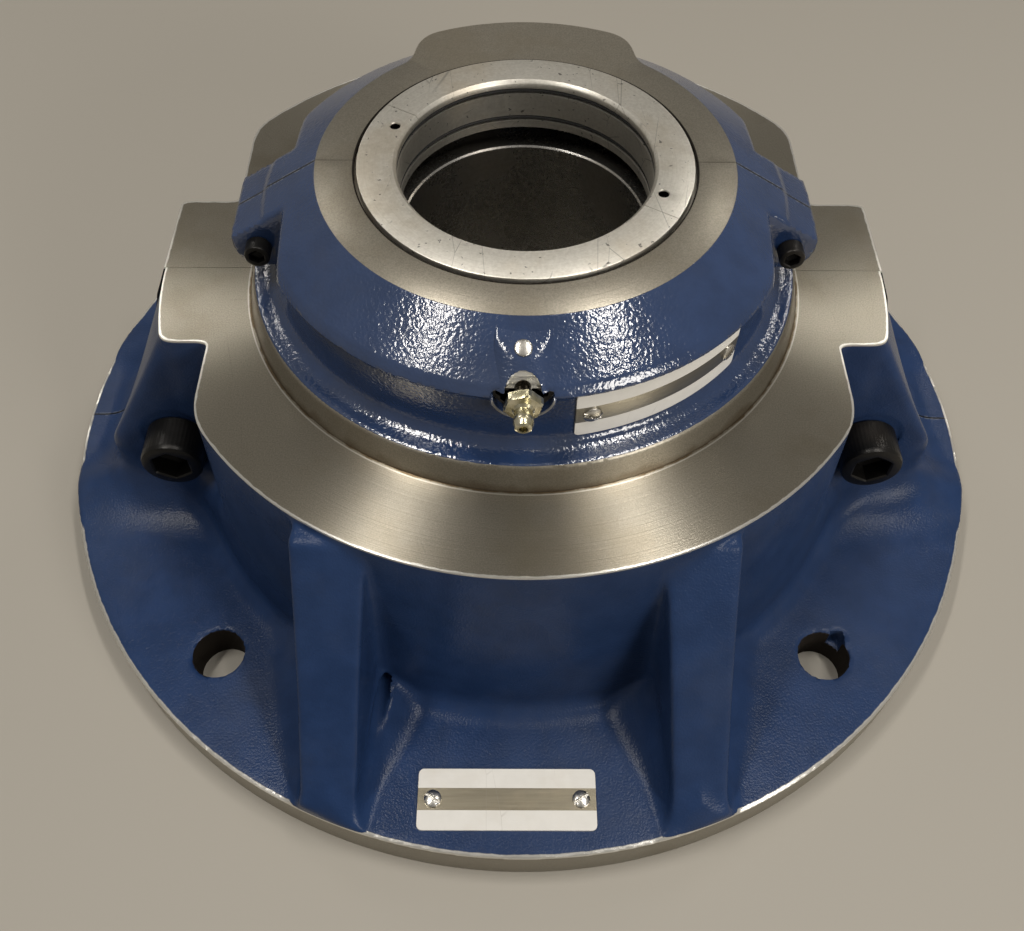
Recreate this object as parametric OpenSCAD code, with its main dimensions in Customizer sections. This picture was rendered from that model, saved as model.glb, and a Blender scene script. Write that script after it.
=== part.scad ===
// Split roller bearing unit with a round flange housing.
// The flange housing and the cartridge inside it are each cast in two halves that meet
// at y = 0. The cartridge swivels on a spherical seat and holds a split roller bearing.
// Z is the shaft axis, z = 0 is the mounting face, and the front half is at -Y.

/* [Bearing] */
// Shaft diameter
shaft_d = 88.9; // [84:0.1:94]
// Wall of the inner race under the rollers
inner_race_wall = 10; // [9:0.5:13]
// Roller diameter
roller_d = 25; // [20:0.5:28]
// Roller length
roller_len = 32; // [26:1:36]
// Wall of the outer race behind its track
outer_race_wall = 7.7; // [6:0.1:10]
// Width of the outer race
outer_race_w = 58; // [50:1:62]
// Height of the lips that guide the roller ends
outer_lip = 3; // [2:0.5:3.5]
// Length of the inner race
inner_race_len = 92; // [88:1:96]
// Radial thickness of the cage
cage_t = 11; // [8:0.5:13]
// Thickness of the cage's end rings
cage_ring = 7.5; // [5:0.5:8]

/* [Clamping collars] */
// Wall of the inner race under a collar
collar_seat_wall = 6.5; // [5:0.5:8]
// Radial thickness of a collar
collar_wall = 17; // [15:0.5:20]
// Width of a collar
collar_w = 16; // [14:1:18]
// Gap between the halves of a collar
collar_split = 1; // [0.4:0.1:2]
// Thread diameter of the collar screws
collar_screw_d = 6; // [5:1:6]

/* [Seals] */
// Length of a seal ring
seal_len = 20; // [18:1:22]
// Radial wall of a seal ring
seal_wall = 13.7; // [12:0.1:16]
// How far the seal stands proud of the cartridge
seal_proud = 1; // [0:0.5:3]
// Height of the labyrinth fins
fin_h = 4; // [3:0.5:5]
// Thickness of a labyrinth fin
fin_t = 3; // [2:0.5:3.5]
// Diameter of the sealing cord
cord_d = 4.2; // [3:0.2:5]
// Turn of the seal's split from the X axis
seal_split_deg = -31; // [-60:1:60]
// Diameter of the holes in the seal face
seal_hole_d = 3.6; // [2:0.2:5]

/* [Cartridge] */
// Height of the swivel centre above the mounting face
swivel_z = 86; // [84:0.5:96]
// Overall length of the cartridge
cart_len = 147.6; // [144:0.1:152]
// Wall between the outer race and the spherical band
cart_wall = 18.7; // [16:0.1:22]
// Width of the spherical band
band_w = 66.6; // [62:0.2:72]
// Width of the end face outside the seal
end_land = 11.8; // [9:0.2:14]
// Wall of the neck beside the band
neck_wall = 19; // [16:0.5:20]
// Overhang of the conical shoulder over the neck
shoulder_lip = 4; // [2:0.5:6]
// Slope of the conical shoulder
shoulder_deg = 31.8; // [29:0.1:34]
// Fillet where the neck meets the band
neck_fillet = 3; // [1:0.5:4]
// Width of the joint lugs along Y
cart_lug_w = 32.6; // [28:0.2:36]
// Radius of the joint lugs' ends
cart_lug_r = 9.4; // [8:0.2:10]
// Flats beside the lugs, measured in from the neck
cart_flat_in = 7.7; // [5:0.1:9]
// Distance from the neck out to the joint screws
cart_screw_out = 3.3; // [2:0.1:5]
// Distance from the end face down to the joint screws
cart_screw_in = 24.5; // [23:0.5:27]
// Thread diameter of the joint screws
cart_screw_d = 6; // [5:1:6]
// Radius of the flush boss behind
rear_boss_r = 84.5; // [80:0.5:88]
// Width of the flush boss behind
rear_boss_w = 83; // [70:1:90]

/* [Grease fitting] */
// Distance from the end face down to the nipple
nipple_in = 14; // [13:0.5:16]
// Width of the grease boss
grease_boss_w = 20; // [18:0.5:24]
// How far the boss stands out from the shoulder
grease_boss_out = 1.6; // [1:0.1:3]
// Across flats of the nipple
nipple_af = 11; // [9:1:12]
// Length of the nipple outside its seat
nipple_len = 17.5; // [15:0.5:22]
// Diameter of the domed plug
plug_d = 5; // [4:0.5:6]

/* [Flange housing] */
// Outer diameter of the flange
flange_d = 391; // [388:1:410]
// Thickness of the flange
flange_t = 17.5; // [14:0.5:22]
// Width of the spherical seat
seat_w = 46; // [40:0.5:50]
// Wall of the front half outside the seat
hub_wall_front = 29.5; // [26:0.5:33]
// Wall of the rear half outside the seat
hub_wall_rear = 37; // [33:0.5:39]
// Draft of the hub over its height
hub_draft = 5; // [2:0.5:7]
// Fillet at the foot of the hub
hub_fillet = 9; // [6:0.5:11]
// Clearance round the cartridge below the seat
cavity_clear = 6; // [5:0.5:8]
// Flats of the hub behind the joint screws
hub_flat_x = 115; // [112:0.5:117]
// Width of the joint lugs along Y
lug_w = 84; // [80:1:88]
// Reach of the joint lugs at the hub's top
lug_x = 137; // [134:0.5:140]
// Reach of the lugs' front corners at the hub's top
lug_front_x = 132.5; // [129:0.5:134]
// Reach of the joint lugs at the level of the joint screws
lug_knee_x = 165; // [160:0.5:168]
// Draft of the lugs' front and rear faces
lug_draft = 5; // [3:0.5:6]
// Distance of the joint lugs' foot from the rim
lug_rim_gap = 9.5; // [6:0.5:15]
// Radius of the lugs' round foot
lug_foot_r = 80; // [72:1:84]
// Flare at the front of the lugs
lug_fillet = 30; // [24:1:32]
// Thickness of the ribs
rib_t = 20; // [14:0.5:24]
// Distance of the ribs' tops from the middle
rib_x = 60.5; // [56:0.5:66]
// Splay of the ribs towards the rim
rib_splay = 5; // [0:0.5:8]
// Shift of the front ribs to the left
rib_shift = 3; // [0:0.5:5]
// Distance of the ribs' foot from the rim
rib_rim_gap = 11.5; // [8:0.5:19]
// Fillet at the foot of the ribs
rib_fillet = 11; // [6:0.5:13]
// Fillet where the ribs meet the hub
root_fillet = 8; // [5:0.5:12]
// Diameter of the drain hole
drain_d = 6.5; // [4:0.5:8]

/* [Flange fastenings] */
// Place of the mounting holes between the hub's foot and the rim, as a share
bolt_share = 0.384; // [0.35:0.002:0.46]
// Diameter of the mounting holes
bolt_hole_d = 20; // [16:0.5:24]
// Joint screws' distance from the axis
joint_screw_x = 138.6; // [136:0.2:142]
// Height of the joint screws above the mounting face
joint_screw_z = 55.5; // [54:0.5:60]
// Thread diameter of the joint screws
joint_screw_d = 16; // [12:1:18]
// Length of the joint screws under the head
joint_screw_len = 70; // [60:1:74]
// Diameter of the locating dowels
dowel_d = 10; // [6:1:12]
// Length of the locating dowels
dowel_len = 30; // [20:1:40]

/* [Nameplates] */
// Length of the nameplates
plate_len = 64; // [56:1:70]
// Height of the nameplates
plate_h = 20; // [16:0.5:20.5]
// Thickness of the nameplates
plate_t = 0.8; // [0.5:0.1:1.5]
// Shift of the flange plate from the middle
plate_shift = -5.5; // [-10:0.5:10]
// Place of the flange plate between the hub's foot and the rim, as a share
plate_share = 0.554; // [0.5:0.002:0.6]
// Angle of the middle of the cartridge plate
plate_deg = -60; // [-62:1:-45]
// Head diameter of the drive screws
drive_screw_d = 5.4; // [4:0.2:7]

/* [Hidden] */
$fn = 96;

// Colours of the finishes
paint_blue = [0.13, 0.21, 0.40];
machined_iron = [0.55, 0.53, 0.48];
bright_steel = [0.74, 0.74, 0.72];
aluminium = [0.72, 0.71, 0.68];
black_oxide = [0.07, 0.07, 0.07];
yellow_zinc = [0.72, 0.64, 0.36];
black_rubber = [0.05, 0.05, 0.05];
plate_white = [0.86, 0.85, 0.82];
cage_bronze = [0.62, 0.45, 0.22];

// Small clearances and cutting allowances
eps = 0.01;
cut = 1;
roller_play = 0.05;
pocket_play = 0.3;
race_fit = 0.05;
screw_fit = 0.1;
seat_play = 0.08;
seal_bore_play = 0.15;
seal_gap = 0.9;
fin_play = 0.6;
cord_grip = 0.1;
collar_room = 4;
race_split = 0.4;

// Radii from the shaft outwards
shaft_r = shaft_d / 2;
inner_track_r = shaft_r + inner_race_wall;
roller_r = roller_d / 2;
pitch_r = inner_track_r + roller_play + roller_r;
outer_track_r = pitch_r + roller_r + roller_play;
outer_race_r = outer_track_r + outer_race_wall;
cart_bore_r = outer_race_r + race_fit;
swivel_r = cart_bore_r + cart_wall;
seat_r = swivel_r + seat_play;
collar_seat_r = shaft_r + collar_seat_wall;
collar_r = collar_seat_r + collar_wall;
collar_bore_r = collar_seat_r + race_fit;
chamber_r = collar_r + collar_room;
seal_bore_r = shaft_r + seal_bore_play;
seal_r = seal_bore_r + seal_wall;
fin_r = seal_r + fin_h;
cart_end_bore_r = seal_r + seal_gap;
cart_end_r = cart_end_bore_r + end_land;
neck_r = chamber_r + neck_wall;
shoulder_r = neck_r + shoulder_lip;
hub_front_r = seat_r + hub_wall_front;
hub_rear_r = seat_r + hub_wall_rear;
flange_r = flange_d / 2;

// Levels, counted from the swivel centre inside the cartridge
cart_half = cart_len / 2;
band_half = band_w / 2;
shoulder_fall = tan(shoulder_deg);
shoulder_low = cart_half - (shoulder_r - cart_end_r) * shoulder_fall;
lip_edge = 1;
neck_top = shoulder_low - lip_edge - shoulder_lip / 4;
seal_top = cart_half + seal_proud;
seal_low = seal_top - seal_len;
fin_levels = [seal_low + seal_len * 0.25, seal_low + seal_len * 0.65];
cord_levels = [seal_low + cord_d, seal_top - cord_d];
outer_half = outer_race_w / 2;
roller_half = roller_len / 2;
cage_half = roller_half + pocket_play + cage_ring;
inner_half = inner_race_len / 2;
collar_top = inner_half - 1;
collar_low = collar_top - collar_w;
chamber_half = inner_half + 3;

// Levels above the mounting face
hub_top = swivel_z + seat_w / 2;
seat_low = swivel_z - seat_w / 2;
plate_low = swivel_z + band_half + neck_fillet + 0.3;

// Cartridge joint
cart_lug_half = cart_lug_w / 2;
cart_screw_x = neck_r + cart_screw_out;
cart_screw_h = cart_half - cart_screw_in;
cart_flat_x = neck_r - cart_flat_in;
cart_lug_end = cart_screw_x + cart_lug_r;
cart_dowel_d = 6;
cart_dowel_len = 20;

// Flange housing
lug_half = lug_w / 2;
lug_face = lug_half - lug_draft;
joint_seat = lug_half - lug_draft * 0.4;
hub_foot_r = hub_front_r + hub_draft + hub_fillet;
bolt_circle_d = 2 * (hub_foot_r + bolt_share * (flange_r - hub_foot_r));
plate_y = hub_foot_r + plate_share * (flange_r - hub_foot_r);
rib_reach = flange_r - rib_rim_gap;
lug_foot_x = flange_r - lug_rim_gap;
all_round = flange_d * 1.3;
cavity_r = cart_lug_end + cavity_clear;
joint_head_d = joint_screw_d * 1.5;
seat_bevel = 8;
rim_step = 0.6;
rib_drop = 3;
bolt_angles = [45, 135, 225, 315];

// Grease fitting
nipple_z = swivel_z + cart_half - nipple_in;
boss_front = shoulder_r - 1.5;
nipple_seat = boss_front - 5;
spot_r = grease_boss_w / 2 - 1.5;
nipple_thread_r = nipple_af / 2 - 0.8;
nipple_thread_len = 9;
plug_r = plug_d / 2;
plug_len = 3.2;
plug_y = (cart_end_r + shoulder_r) / 2 - 1;

// Rollers
roller_count = 12;
roller_step = 360 / roller_count;
arc_steps = 10;

// Points on an arc about a centre
function arc(c, r, from, to, n = arc_steps) =
    [for (i = [0 : n]) let (a = from + (to - from) * i / n) c + r * [cos(a), sin(a)]];

// Height of the shoulder's cone at a radius, counted from the swivel centre
function cone_at(r) = cart_half - (r - cart_end_r) * shoulder_fall;

// Helpers for direction and halves

// Everything on one side of the joint plane; side is -1 for the front and 1 for the rear
module half(side, size = all_round) {
    intersection() {
        children();
        translate([-size, side < 0 ? -size : 0, -size]) cube([2 * size, size, 2 * size]);
    }
}

// One half of a ring whose joint plane is turned and leaves a gap
module ring_half(side, gap, turn = 0, size = all_round) {
    intersection() {
        children();
        rotate(turn)
            translate([-size, side < 0 ? -size : gap / 2, -size])
                cube([2 * size, size - gap / 2, 2 * size]);
    }
}

module at_swivel() {
    translate([0, 0, swivel_z]) children();
}

// Puts children on both ends of the cartridge, the lower end mirrored
module both_ends() {
    for (m = [0, 1]) mirror([0, 0, m]) children();
}

// A cylinder along Y from one y to another
module rod_y(x, z, r, from, to) {
    translate([x, from, z]) rotate([-90, 0, 0]) cylinder(r = r, h = to - from);
}

// Socket head cap screw along +Y, with the seat of its head at the origin
module cap_screw_y(d, length) {
    head_r = d * 0.75;
    socket_r = d * 0.48;
    rotate([-90, 0, 0]) {
        difference() {
            union() {
                translate([0, 0, -d]) cylinder(r = head_r, h = d);
                cylinder(r = d / 2, h = length);
            }
            translate([0, 0, -d - cut]) cylinder(r = socket_r, h = d / 2 + cut, $fn = 6);
        }
    }
}

// Flange housing

// Hub with draft and a foot fillet, still solid inside
module hub_revolve(hub_r) {
    foot = hub_r + hub_draft + hub_fillet;
    profile = concat(
        [[0, flange_t - cut], [foot, flange_t - cut]],
        arc([foot, flange_t + hub_fillet], hub_fillet, 270, 180),
        [[hub_r, hub_top], [0, hub_top]]
    );
    rotate_extrude() polygon(profile);
}

// Pocket between a lug and the hub, where a joint screw's head stands
module lug_pocket(side, end) {
    profile = [
        [hub_flat_x, hub_top + cut], [hub_flat_x, joint_screw_z],
        [lug_x + hub_fillet / 2, flange_t + hub_fillet / 2],
        [flange_r, flange_t + hub_fillet / 2], [flange_r, hub_top + cut]
    ];
    depth = hub_rear_r;
    mirror([side < 0 ? 1 : 0, 0, 0])
        translate([0, end < 0 ? -lug_face : lug_face + depth, 0])
            rotate([90, 0, 0]) linear_extrude(depth) polygon(profile);
}

// What lies outside the sloped end of a lug, near the joint
module lug_side(side) {
    lean = (lug_knee_x - lug_x) / (hub_top - joint_screw_z);
    profile = [
        [lug_x - lean * cut, hub_top + cut], [flange_r, hub_top + cut],
        [flange_r, joint_screw_z], [lug_knee_x, joint_screw_z]
    ];
    mirror([side < 0 ? 1 : 0, 0, 0])
        translate([0, lug_face, 0])
            rotate([90, 0, 0]) linear_extrude(2 * lug_face) polygon(profile);
}

// Joint lug on one side: square at the top, a knee by the screw, a round foot and a flared front
module joint_lug(side) {
    skirt = 7;
    foot_c = lug_foot_x - lug_foot_r;
    foot_y = lug_half + lug_fillet;
    front = concat(
        [[-foot_y, flange_t - cut]],
        arc([-foot_y, flange_t + lug_fillet], lug_fillet, -90, 0),
        [[-lug_face, hub_top], [lug_face, hub_top]],
        arc([foot_y, flange_t + lug_fillet], lug_fillet, 180, 270),
        [[foot_y, flange_t - cut]]
    );
    top = [
        [0, -lug_half], [lug_front_x, -lug_face], [lug_x, 0], [lug_x, lug_face], [0, lug_half]
    ];
    knee = [
        [0, -lug_half], [lug_knee_x - 3, -lug_half], [lug_knee_x, -lug_half / 2],
        [lug_knee_x, lug_half / 2], [lug_knee_x - 3, lug_half], [0, lug_half]
    ];
    mirror([side < 0 ? 1 : 0, 0, 0]) {
        intersection() {
            union() {
                hull() {
                    translate([0, 0, hub_top - eps]) linear_extrude(eps) polygon(top);
                    translate([0, 0, joint_screw_z]) linear_extrude(eps) polygon(knee);
                }
                hull() {
                    translate([0, 0, joint_screw_z]) linear_extrude(eps) polygon(knee);
                    translate([foot_c, 0, flange_t - cut]) cylinder(r = lug_foot_r - skirt, h = eps);
                }
            }
            rotate([90, 0, 90]) linear_extrude(flange_r) polygon(front);
        }
        translate([foot_c, 0, 0]) rotate_extrude() polygon(concat(
            [[0, flange_t - cut], [lug_foot_r, flange_t - cut]],
            arc([lug_foot_r, flange_t + skirt], skirt, 270, 210, 6),
            [[0, flange_t + skirt / 2]]
        ));
    }
}

// Rib from the hub's edge down to the flange, towards -Y, with fillets at its foot and root
module rib(x, turn, hub_r) {
    half_t = rib_t / 2;
    start = sqrt(hub_r * hub_r - x * x);
    reach = rib_reach - start;
    low = flange_t - cut;
    top = hub_top - rib_drop;
    slope = [[30, low], [-reach - 1, low], [-reach, flange_t], [-1, top], [30, top]];
    foot_x = half_t + rib_fillet;
    foot = concat(
        [[-foot_x, low]],
        arc([-foot_x, flange_t + rib_fillet], rib_fillet, -90, 0),
        [[-half_t, hub_top], [half_t, hub_top]],
        arc([foot_x, flange_t + rib_fillet], rib_fillet, 180, 270),
        [[foot_x, low]]
    );
    axis = [start * sin(turn) - x * cos(turn), x * sin(turn) + start * cos(turn)];
    root_x = half_t + root_fillet;
    roll = hub_r + root_fillet;
    left = [-root_x, axis.y - sqrt(roll * roll - pow(-root_x - axis.x, 2))];
    right = [root_x, axis.y - sqrt(roll * roll - pow(root_x - axis.x, 2))];
    root = concat(
        arc(left, root_fillet, atan2(axis.y - left.y, axis.x - left.x), 0),
        arc(right, root_fillet, 180, atan2(axis.y - right.y, axis.x - right.x)),
        [[0, 30]]
    );
    translate([x, -start, 0]) rotate(turn) intersection() {
        translate([-2 * foot_x, 0, 0]) rotate([90, 0, 90])
            linear_extrude(4 * foot_x) polygon(slope);
        union() {
            translate([0, 30, 0]) rotate([90, 0, 0]) linear_extrude(reach + 32) polygon(foot);
            translate([0, 0, low]) linear_extrude(hub_top) polygon(root);
        }
    }
}

// Space under the seat, round the lower end of the cartridge, and the seat itself
module housing_cavity() {
    seat_edge = sqrt(seat_r * seat_r - seat_w * seat_w / 4);
    rotate_extrude() polygon([
        [0, -cut], [cavity_r, -cut], [cavity_r, seat_low - seat_bevel],
        [seat_edge - eps, seat_low], [0, seat_low]
    ]);
    translate([0, 0, swivel_z]) sphere(r = seat_r, $fn = 128);
}

// Castings of one half, before the joint plane is cut
module flange_casting(hub_r, side) {
    shift = side < 0 ? -rib_shift : 0;
    cylinder(r = flange_r, h = flange_t);
    difference() {
        hub_revolve(hub_r);
        for (s = [-1, 1]) {
            lug_pocket(s, side);
            lug_side(s);
        }
    }
    for (s = [-1, 1]) joint_lug(s);
    intersection() {
        cylinder(r = flange_r - rim_step, h = hub_top);
        mirror([0, side < 0 ? 0 : 1, 0])
            for (s = [-1, 1]) rib(s * rib_x + shift, s * rib_splay, hub_r);
    }
}

// Holes that the two halves share
module flange_holes() {
    for (a = bolt_angles)
        rotate(a) translate([bolt_circle_d / 2, 0, -cut])
            cylinder(d = bolt_hole_d, h = flange_t + hub_fillet + 2 * cut);
    for (s = [-1, 1]) {
        rod_y(s * joint_screw_x, joint_screw_z, joint_screw_d / 2 + screw_fit,
              -joint_seat - cut, joint_screw_len - joint_seat + cut);
        rod_y(s * joint_screw_x, joint_screw_z, joint_head_d / 2 + 2,
              -lug_half - lug_fillet, -joint_seat);
        rod_y(s * joint_screw_x, dowel_z, dowel_d / 2 + race_fit,
              -dowel_len / 2 - cut, dowel_len / 2 + cut);
    }
}
dowel_z = joint_screw_z - joint_screw_d / 2 - dowel_d - 8;

module flange_front_half() {
    drain_x = -rib_x - rib_shift + rib_t / 2 + 4;
    nick_r = 3;
    nick_out = bolt_hole_d / 2 + 0.6;
    nick_depth = 8;
    plate_hole_x = plate_len / 2 - drive_screw_d;
    color(paint_blue) half(-1) difference() {
        flange_casting(hub_front_r, -1);
        housing_cavity();
        flange_holes();
        rod_y(drain_x, flange_t + drain_d + 2, drain_d / 2, -flange_r, -cavity_r + 10);
        rotate(-45) translate([bolt_circle_d / 2 - 1, nick_out, flange_t - nick_depth])
            cylinder(r = nick_r, h = nick_depth + cut);
        for (s = [-1, 1])
            translate([plate_shift + s * plate_hole_x, -plate_y, flange_t - 5])
                cylinder(r = drive_screw_d / 4 + screw_fit, h = 5 + cut);
    }
}

module flange_rear_half() {
    color(paint_blue) half(1) difference() {
        flange_casting(hub_rear_r, 1);
        housing_cavity();
        flange_holes();
    }
}

module flange_joint_screws() {
    color(black_oxide) for (s = [-1, 1])
        translate([s * joint_screw_x, -joint_seat, joint_screw_z])
            cap_screw_y(joint_screw_d, joint_screw_len);
}

module flange_dowels() {
    color(bright_steel) for (s = [-1, 1])
        rod_y(s * joint_screw_x, dowel_z, dowel_d / 2, -dowel_len / 2, dowel_len / 2);
}

// Slotted drive screw along +Z, with its head's underside at z = 0
module drive_screw() {
    head_h = drive_screw_d * 0.35;
    slot = drive_screw_d / 6;
    difference() {
        union() {
            cylinder(d = drive_screw_d, h = head_h);
            translate([0, 0, -4]) cylinder(r = drive_screw_d / 4, h = 4 + eps);
        }
        translate([-drive_screw_d, -slot / 2, head_h - slot])
            cube([2 * drive_screw_d, slot, slot + cut]);
    }
}

module flange_nameplate() {
    hole_x = plate_len / 2 - drive_screw_d;
    corner = 2;
    color(plate_white) translate([plate_shift, -plate_y, flange_t])
        difference() {
            linear_extrude(plate_t) polygon(concat(
                arc([plate_len / 2 - corner, plate_h / 2 - corner], corner, 0, 90, 4),
                arc([corner - plate_len / 2, plate_h / 2 - corner], corner, 90, 180, 4),
                arc([corner - plate_len / 2, corner - plate_h / 2], corner, 180, 270, 4),
                arc([plate_len / 2 - corner, corner - plate_h / 2], corner, 270, 360, 4)
            ));
            for (s = [-1, 1]) translate([s * hole_x, 0, -cut])
                cylinder(r = drive_screw_d / 4 + screw_fit, h = plate_t + 2 * cut);
        }
}

module flange_plate_screws() {
    hole_x = plate_len / 2 - drive_screw_d;
    color(bright_steel) for (s = [-1, 1])
        translate([plate_shift + s * hole_x, -plate_y, flange_t + plate_t])
            rotate(s * 35) drive_screw();
}

// Cartridge

// Conical shoulder and neck on the upper end
module cart_neck() {
    ledge = band_half;
    rotate_extrude() polygon(concat(
        [[0, 0], [neck_r + neck_fillet, 0], [neck_r + neck_fillet, ledge]],
        arc([neck_r + neck_fillet, ledge + neck_fillet], neck_fillet, 270, 180, 5),
        [[neck_r, neck_top], [shoulder_r, shoulder_low - lip_edge]],
        [[shoulder_r, shoulder_low], [cart_end_r, cart_half], [0, cart_half]]
    ));
}

// Lugs for the joint screws, under the cone of the shoulder
module cart_lugs() {
    reach = cart_lug_end + cut;
    intersection() {
        rotate_extrude() polygon([
            [0, 0], [reach, 0], [reach, cone_at(reach)], [cart_end_r, cart_half], [0, cart_half]
        ]);
        for (s = [-1, 1]) union() {
            rod_y(s * cart_screw_x, cart_screw_h, cart_lug_r, -cart_lug_half, cart_lug_half);
            translate([s > 0 ? cart_flat_x - 6 : -cart_screw_x, -cart_lug_half,
                       cart_screw_h - cart_lug_r])
                cube([cart_screw_x - cart_flat_x + 6, cart_lug_w, cart_half]);
            translate([s > 0 ? cart_screw_x : -cart_lug_end, -cart_lug_half, cart_screw_h])
                cube([cart_lug_r, cart_lug_w, cart_half]);
        }
    }
}

// Flats beside the lugs
module cart_flats() {
    low = band_half + neck_fillet;
    for (s = [-1, 1]) for (e = [-1, 1])
        translate([s > 0 ? cart_flat_x : -cart_flat_x - shoulder_r,
                   e > 0 ? cart_lug_half : -cart_lug_half - shoulder_r, low])
            cube([shoulder_r, shoulder_r, cart_half]);
}

// Bore of the upper end: race seat, collar chamber, end bore and labyrinth grooves
module cart_bore() {
    groove_r = fin_r + fin_play;
    cylinder(r = cart_bore_r, h = outer_half + race_fit);
    cylinder(r = chamber_r, h = chamber_half);
    cylinder(r = cart_end_bore_r, h = cart_half + cut);
    for (f = fin_levels) translate([0, 0, f - fin_play])
        cylinder(r = groove_r, h = fin_t + 2 * fin_play);
}

module cart_screw_holes() {
    for (s = [-1, 1])
        rod_y(s * cart_screw_x, cart_screw_h, cart_screw_d / 2 + screw_fit,
              -cart_lug_half - cut, cart_lug_half - 3);
}

module cart_dowel_holes() {
    for (s = [-1, 1])
        rod_y(s * (cart_bore_r + swivel_r) / 2, 0, cart_dowel_d / 2 + race_fit,
              -cart_dowel_len / 2 - cut, cart_dowel_len / 2 + cut);
}

// Whole cartridge about the swivel centre, with extra castings as children
module cartridge_body() {
    difference() {
        union() {
            intersection() {
                sphere(r = swivel_r, $fn = 128);
                cylinder(r = swivel_r + cut, h = band_w, center = true);
            }
            both_ends() {
                difference() {
                    cart_neck();
                    cart_flats();
                }
                cart_lugs();
            }
            children();
        }
        both_ends() {
            cart_bore();
            cart_screw_holes();
        }
        cart_dowel_holes();
    }
}

// Boss round the nipple, with a sloped top along the shoulder
module grease_boss() {
    half_w = grease_boss_w / 2;
    z = cart_half - nipple_in;
    step = 1.2;
    top_y = cart_end_r + (grease_boss_out + step) / shoulder_fall;
    root_y = neck_r - neck_wall / 2;
    outer_top = cone_at(boss_front) + grease_boss_out;
    intersection() {
        union() {
            rod_y(0, z, half_w, -boss_front, -root_y + eps);
            translate([-half_w, -boss_front, z])
                cube([grease_boss_w, boss_front - cart_end_bore_r - end_land / 2, cart_half - z]);
        }
        translate([-half_w - cut, 0, 0]) rotate([90, 0, 90])
            linear_extrude(grease_boss_w + 2 * cut) polygon([
                [-cart_end_r / 2, 0], [-boss_front, 0], [-boss_front, outer_top],
                [-top_y, cart_half - step], [-cart_end_r / 2, cart_half - step]
            ]);
    }
}

// Moves to the domed plug's seat on the sloped top of the grease boss
module at_plug() {
    translate([0, -plug_y, swivel_z + cone_at(plug_y) + grease_boss_out])
        rotate([shoulder_deg, 0, 0]) children();
}

// Moves to a place on the neck wall, with +Z outwards and +X along the wall
module on_neck(angle, z) {
    rotate(angle) translate([neck_r, 0, z]) rotate([90, 0, 90]) children();
}

module cartridge_front_half() {
    color(paint_blue) half(-1) difference() {
        at_swivel() cartridge_body() grease_boss();
        rod_y(0, nipple_z, spot_r, -shoulder_r - cut, -nipple_seat);
        rod_y(0, nipple_z, nipple_thread_r + screw_fit, -nipple_seat - cut,
              -nipple_seat + nipple_thread_len + cut);
        at_plug() translate([0, 0, -plug_len - 0.5]) cylinder(r = plug_r + race_fit, h = plug_len * 2);
        for (s = [-1, 1]) on_neck(plate_deg + s * plate_screw_deg, plate_low + plate_h / 2)
            translate([0, 0, -5]) cylinder(r = drive_screw_d / 4 + screw_fit, h = 5 + cut);
    }
}
plate_screw_deg = (plate_len / 2 - drive_screw_d) / neck_r * 180 / PI;

// Boss behind, flush with the end face
module rear_boss() {
    corner = 8;
    half_w = rear_boss_w / 2;
    c_x = half_w - corner;
    c_y = sqrt(pow(rear_boss_r - corner, 2) - c_x * c_x);
    turn = atan2(c_y, c_x);
    low = cart_half - 30;
    translate([0, 0, low]) linear_extrude(cart_half - low) polygon(concat(
        [[-half_w, cart_end_bore_r - 25], [half_w, cart_end_bore_r - 25]],
        arc([c_x, c_y], corner, 0, turn),
        arc([0, 0], rear_boss_r, turn, 180 - turn),
        arc([-c_x, c_y], corner, 180 - turn, 180)
    ));
}

module cartridge_rear_half() {
    color(paint_blue) half(1) at_swivel() cartridge_body() rear_boss();
}

module cartridge_joint_screws() {
    length = cart_lug_w - 4;
    color(black_oxide) at_swivel() both_ends() for (s = [-1, 1])
        translate([s * cart_screw_x, -cart_lug_half, cart_screw_h])
            cap_screw_y(cart_screw_d, length);
}

module cartridge_dowels() {
    color(bright_steel) at_swivel() for (s = [-1, 1])
        rod_y(s * (cart_bore_r + swivel_r) / 2, 0, cart_dowel_d / 2,
              -cart_dowel_len / 2, cart_dowel_len / 2);
}

// Nipple with a hexagon in front of its seat, a waist and a ball head, along -Y
module grease_nipple() {
    shank = nipple_len * 0.26;
    hex_h = 5.4;
    hex_end = shank + hex_h;
    waist_r = nipple_af * 0.26;
    ball_r = nipple_af * 0.31;
    tip_r = nipple_af * 0.2;
    color(yellow_zinc) translate([0, -nipple_seat, nipple_z]) rotate([90, 0, 0]) {
        translate([0, 0, -nipple_thread_len])
            cylinder(r = nipple_thread_r, h = nipple_thread_len + shank + eps);
        translate([0, 0, shank]) cylinder(r = nipple_af / 2 / cos(30), h = hex_h, $fn = 6);
        rotate_extrude() polygon([
            [0, hex_end - eps], [ball_r + 0.5, hex_end - eps], [waist_r, hex_end + 1.2],
            [waist_r, nipple_len - 4.2], [ball_r, nipple_len - 3.2], [ball_r, nipple_len - 1.6],
            [tip_r, nipple_len], [0, nipple_len]
        ]);
    }
}

// Plug with a low domed head
module domed_plug() {
    dome_r = plug_r * 1.4;
    color(bright_steel) at_plug() {
        translate([0, 0, -plug_len]) cylinder(r = plug_r, h = plug_len + 0.6);
        intersection() {
            translate([0, 0, 0.6 - sqrt(dome_r * dome_r - plug_r * plug_r)]) sphere(r = dome_r);
            translate([0, 0, 0.6 - eps]) cylinder(r = plug_r, h = plug_r);
        }
    }
}

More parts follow.
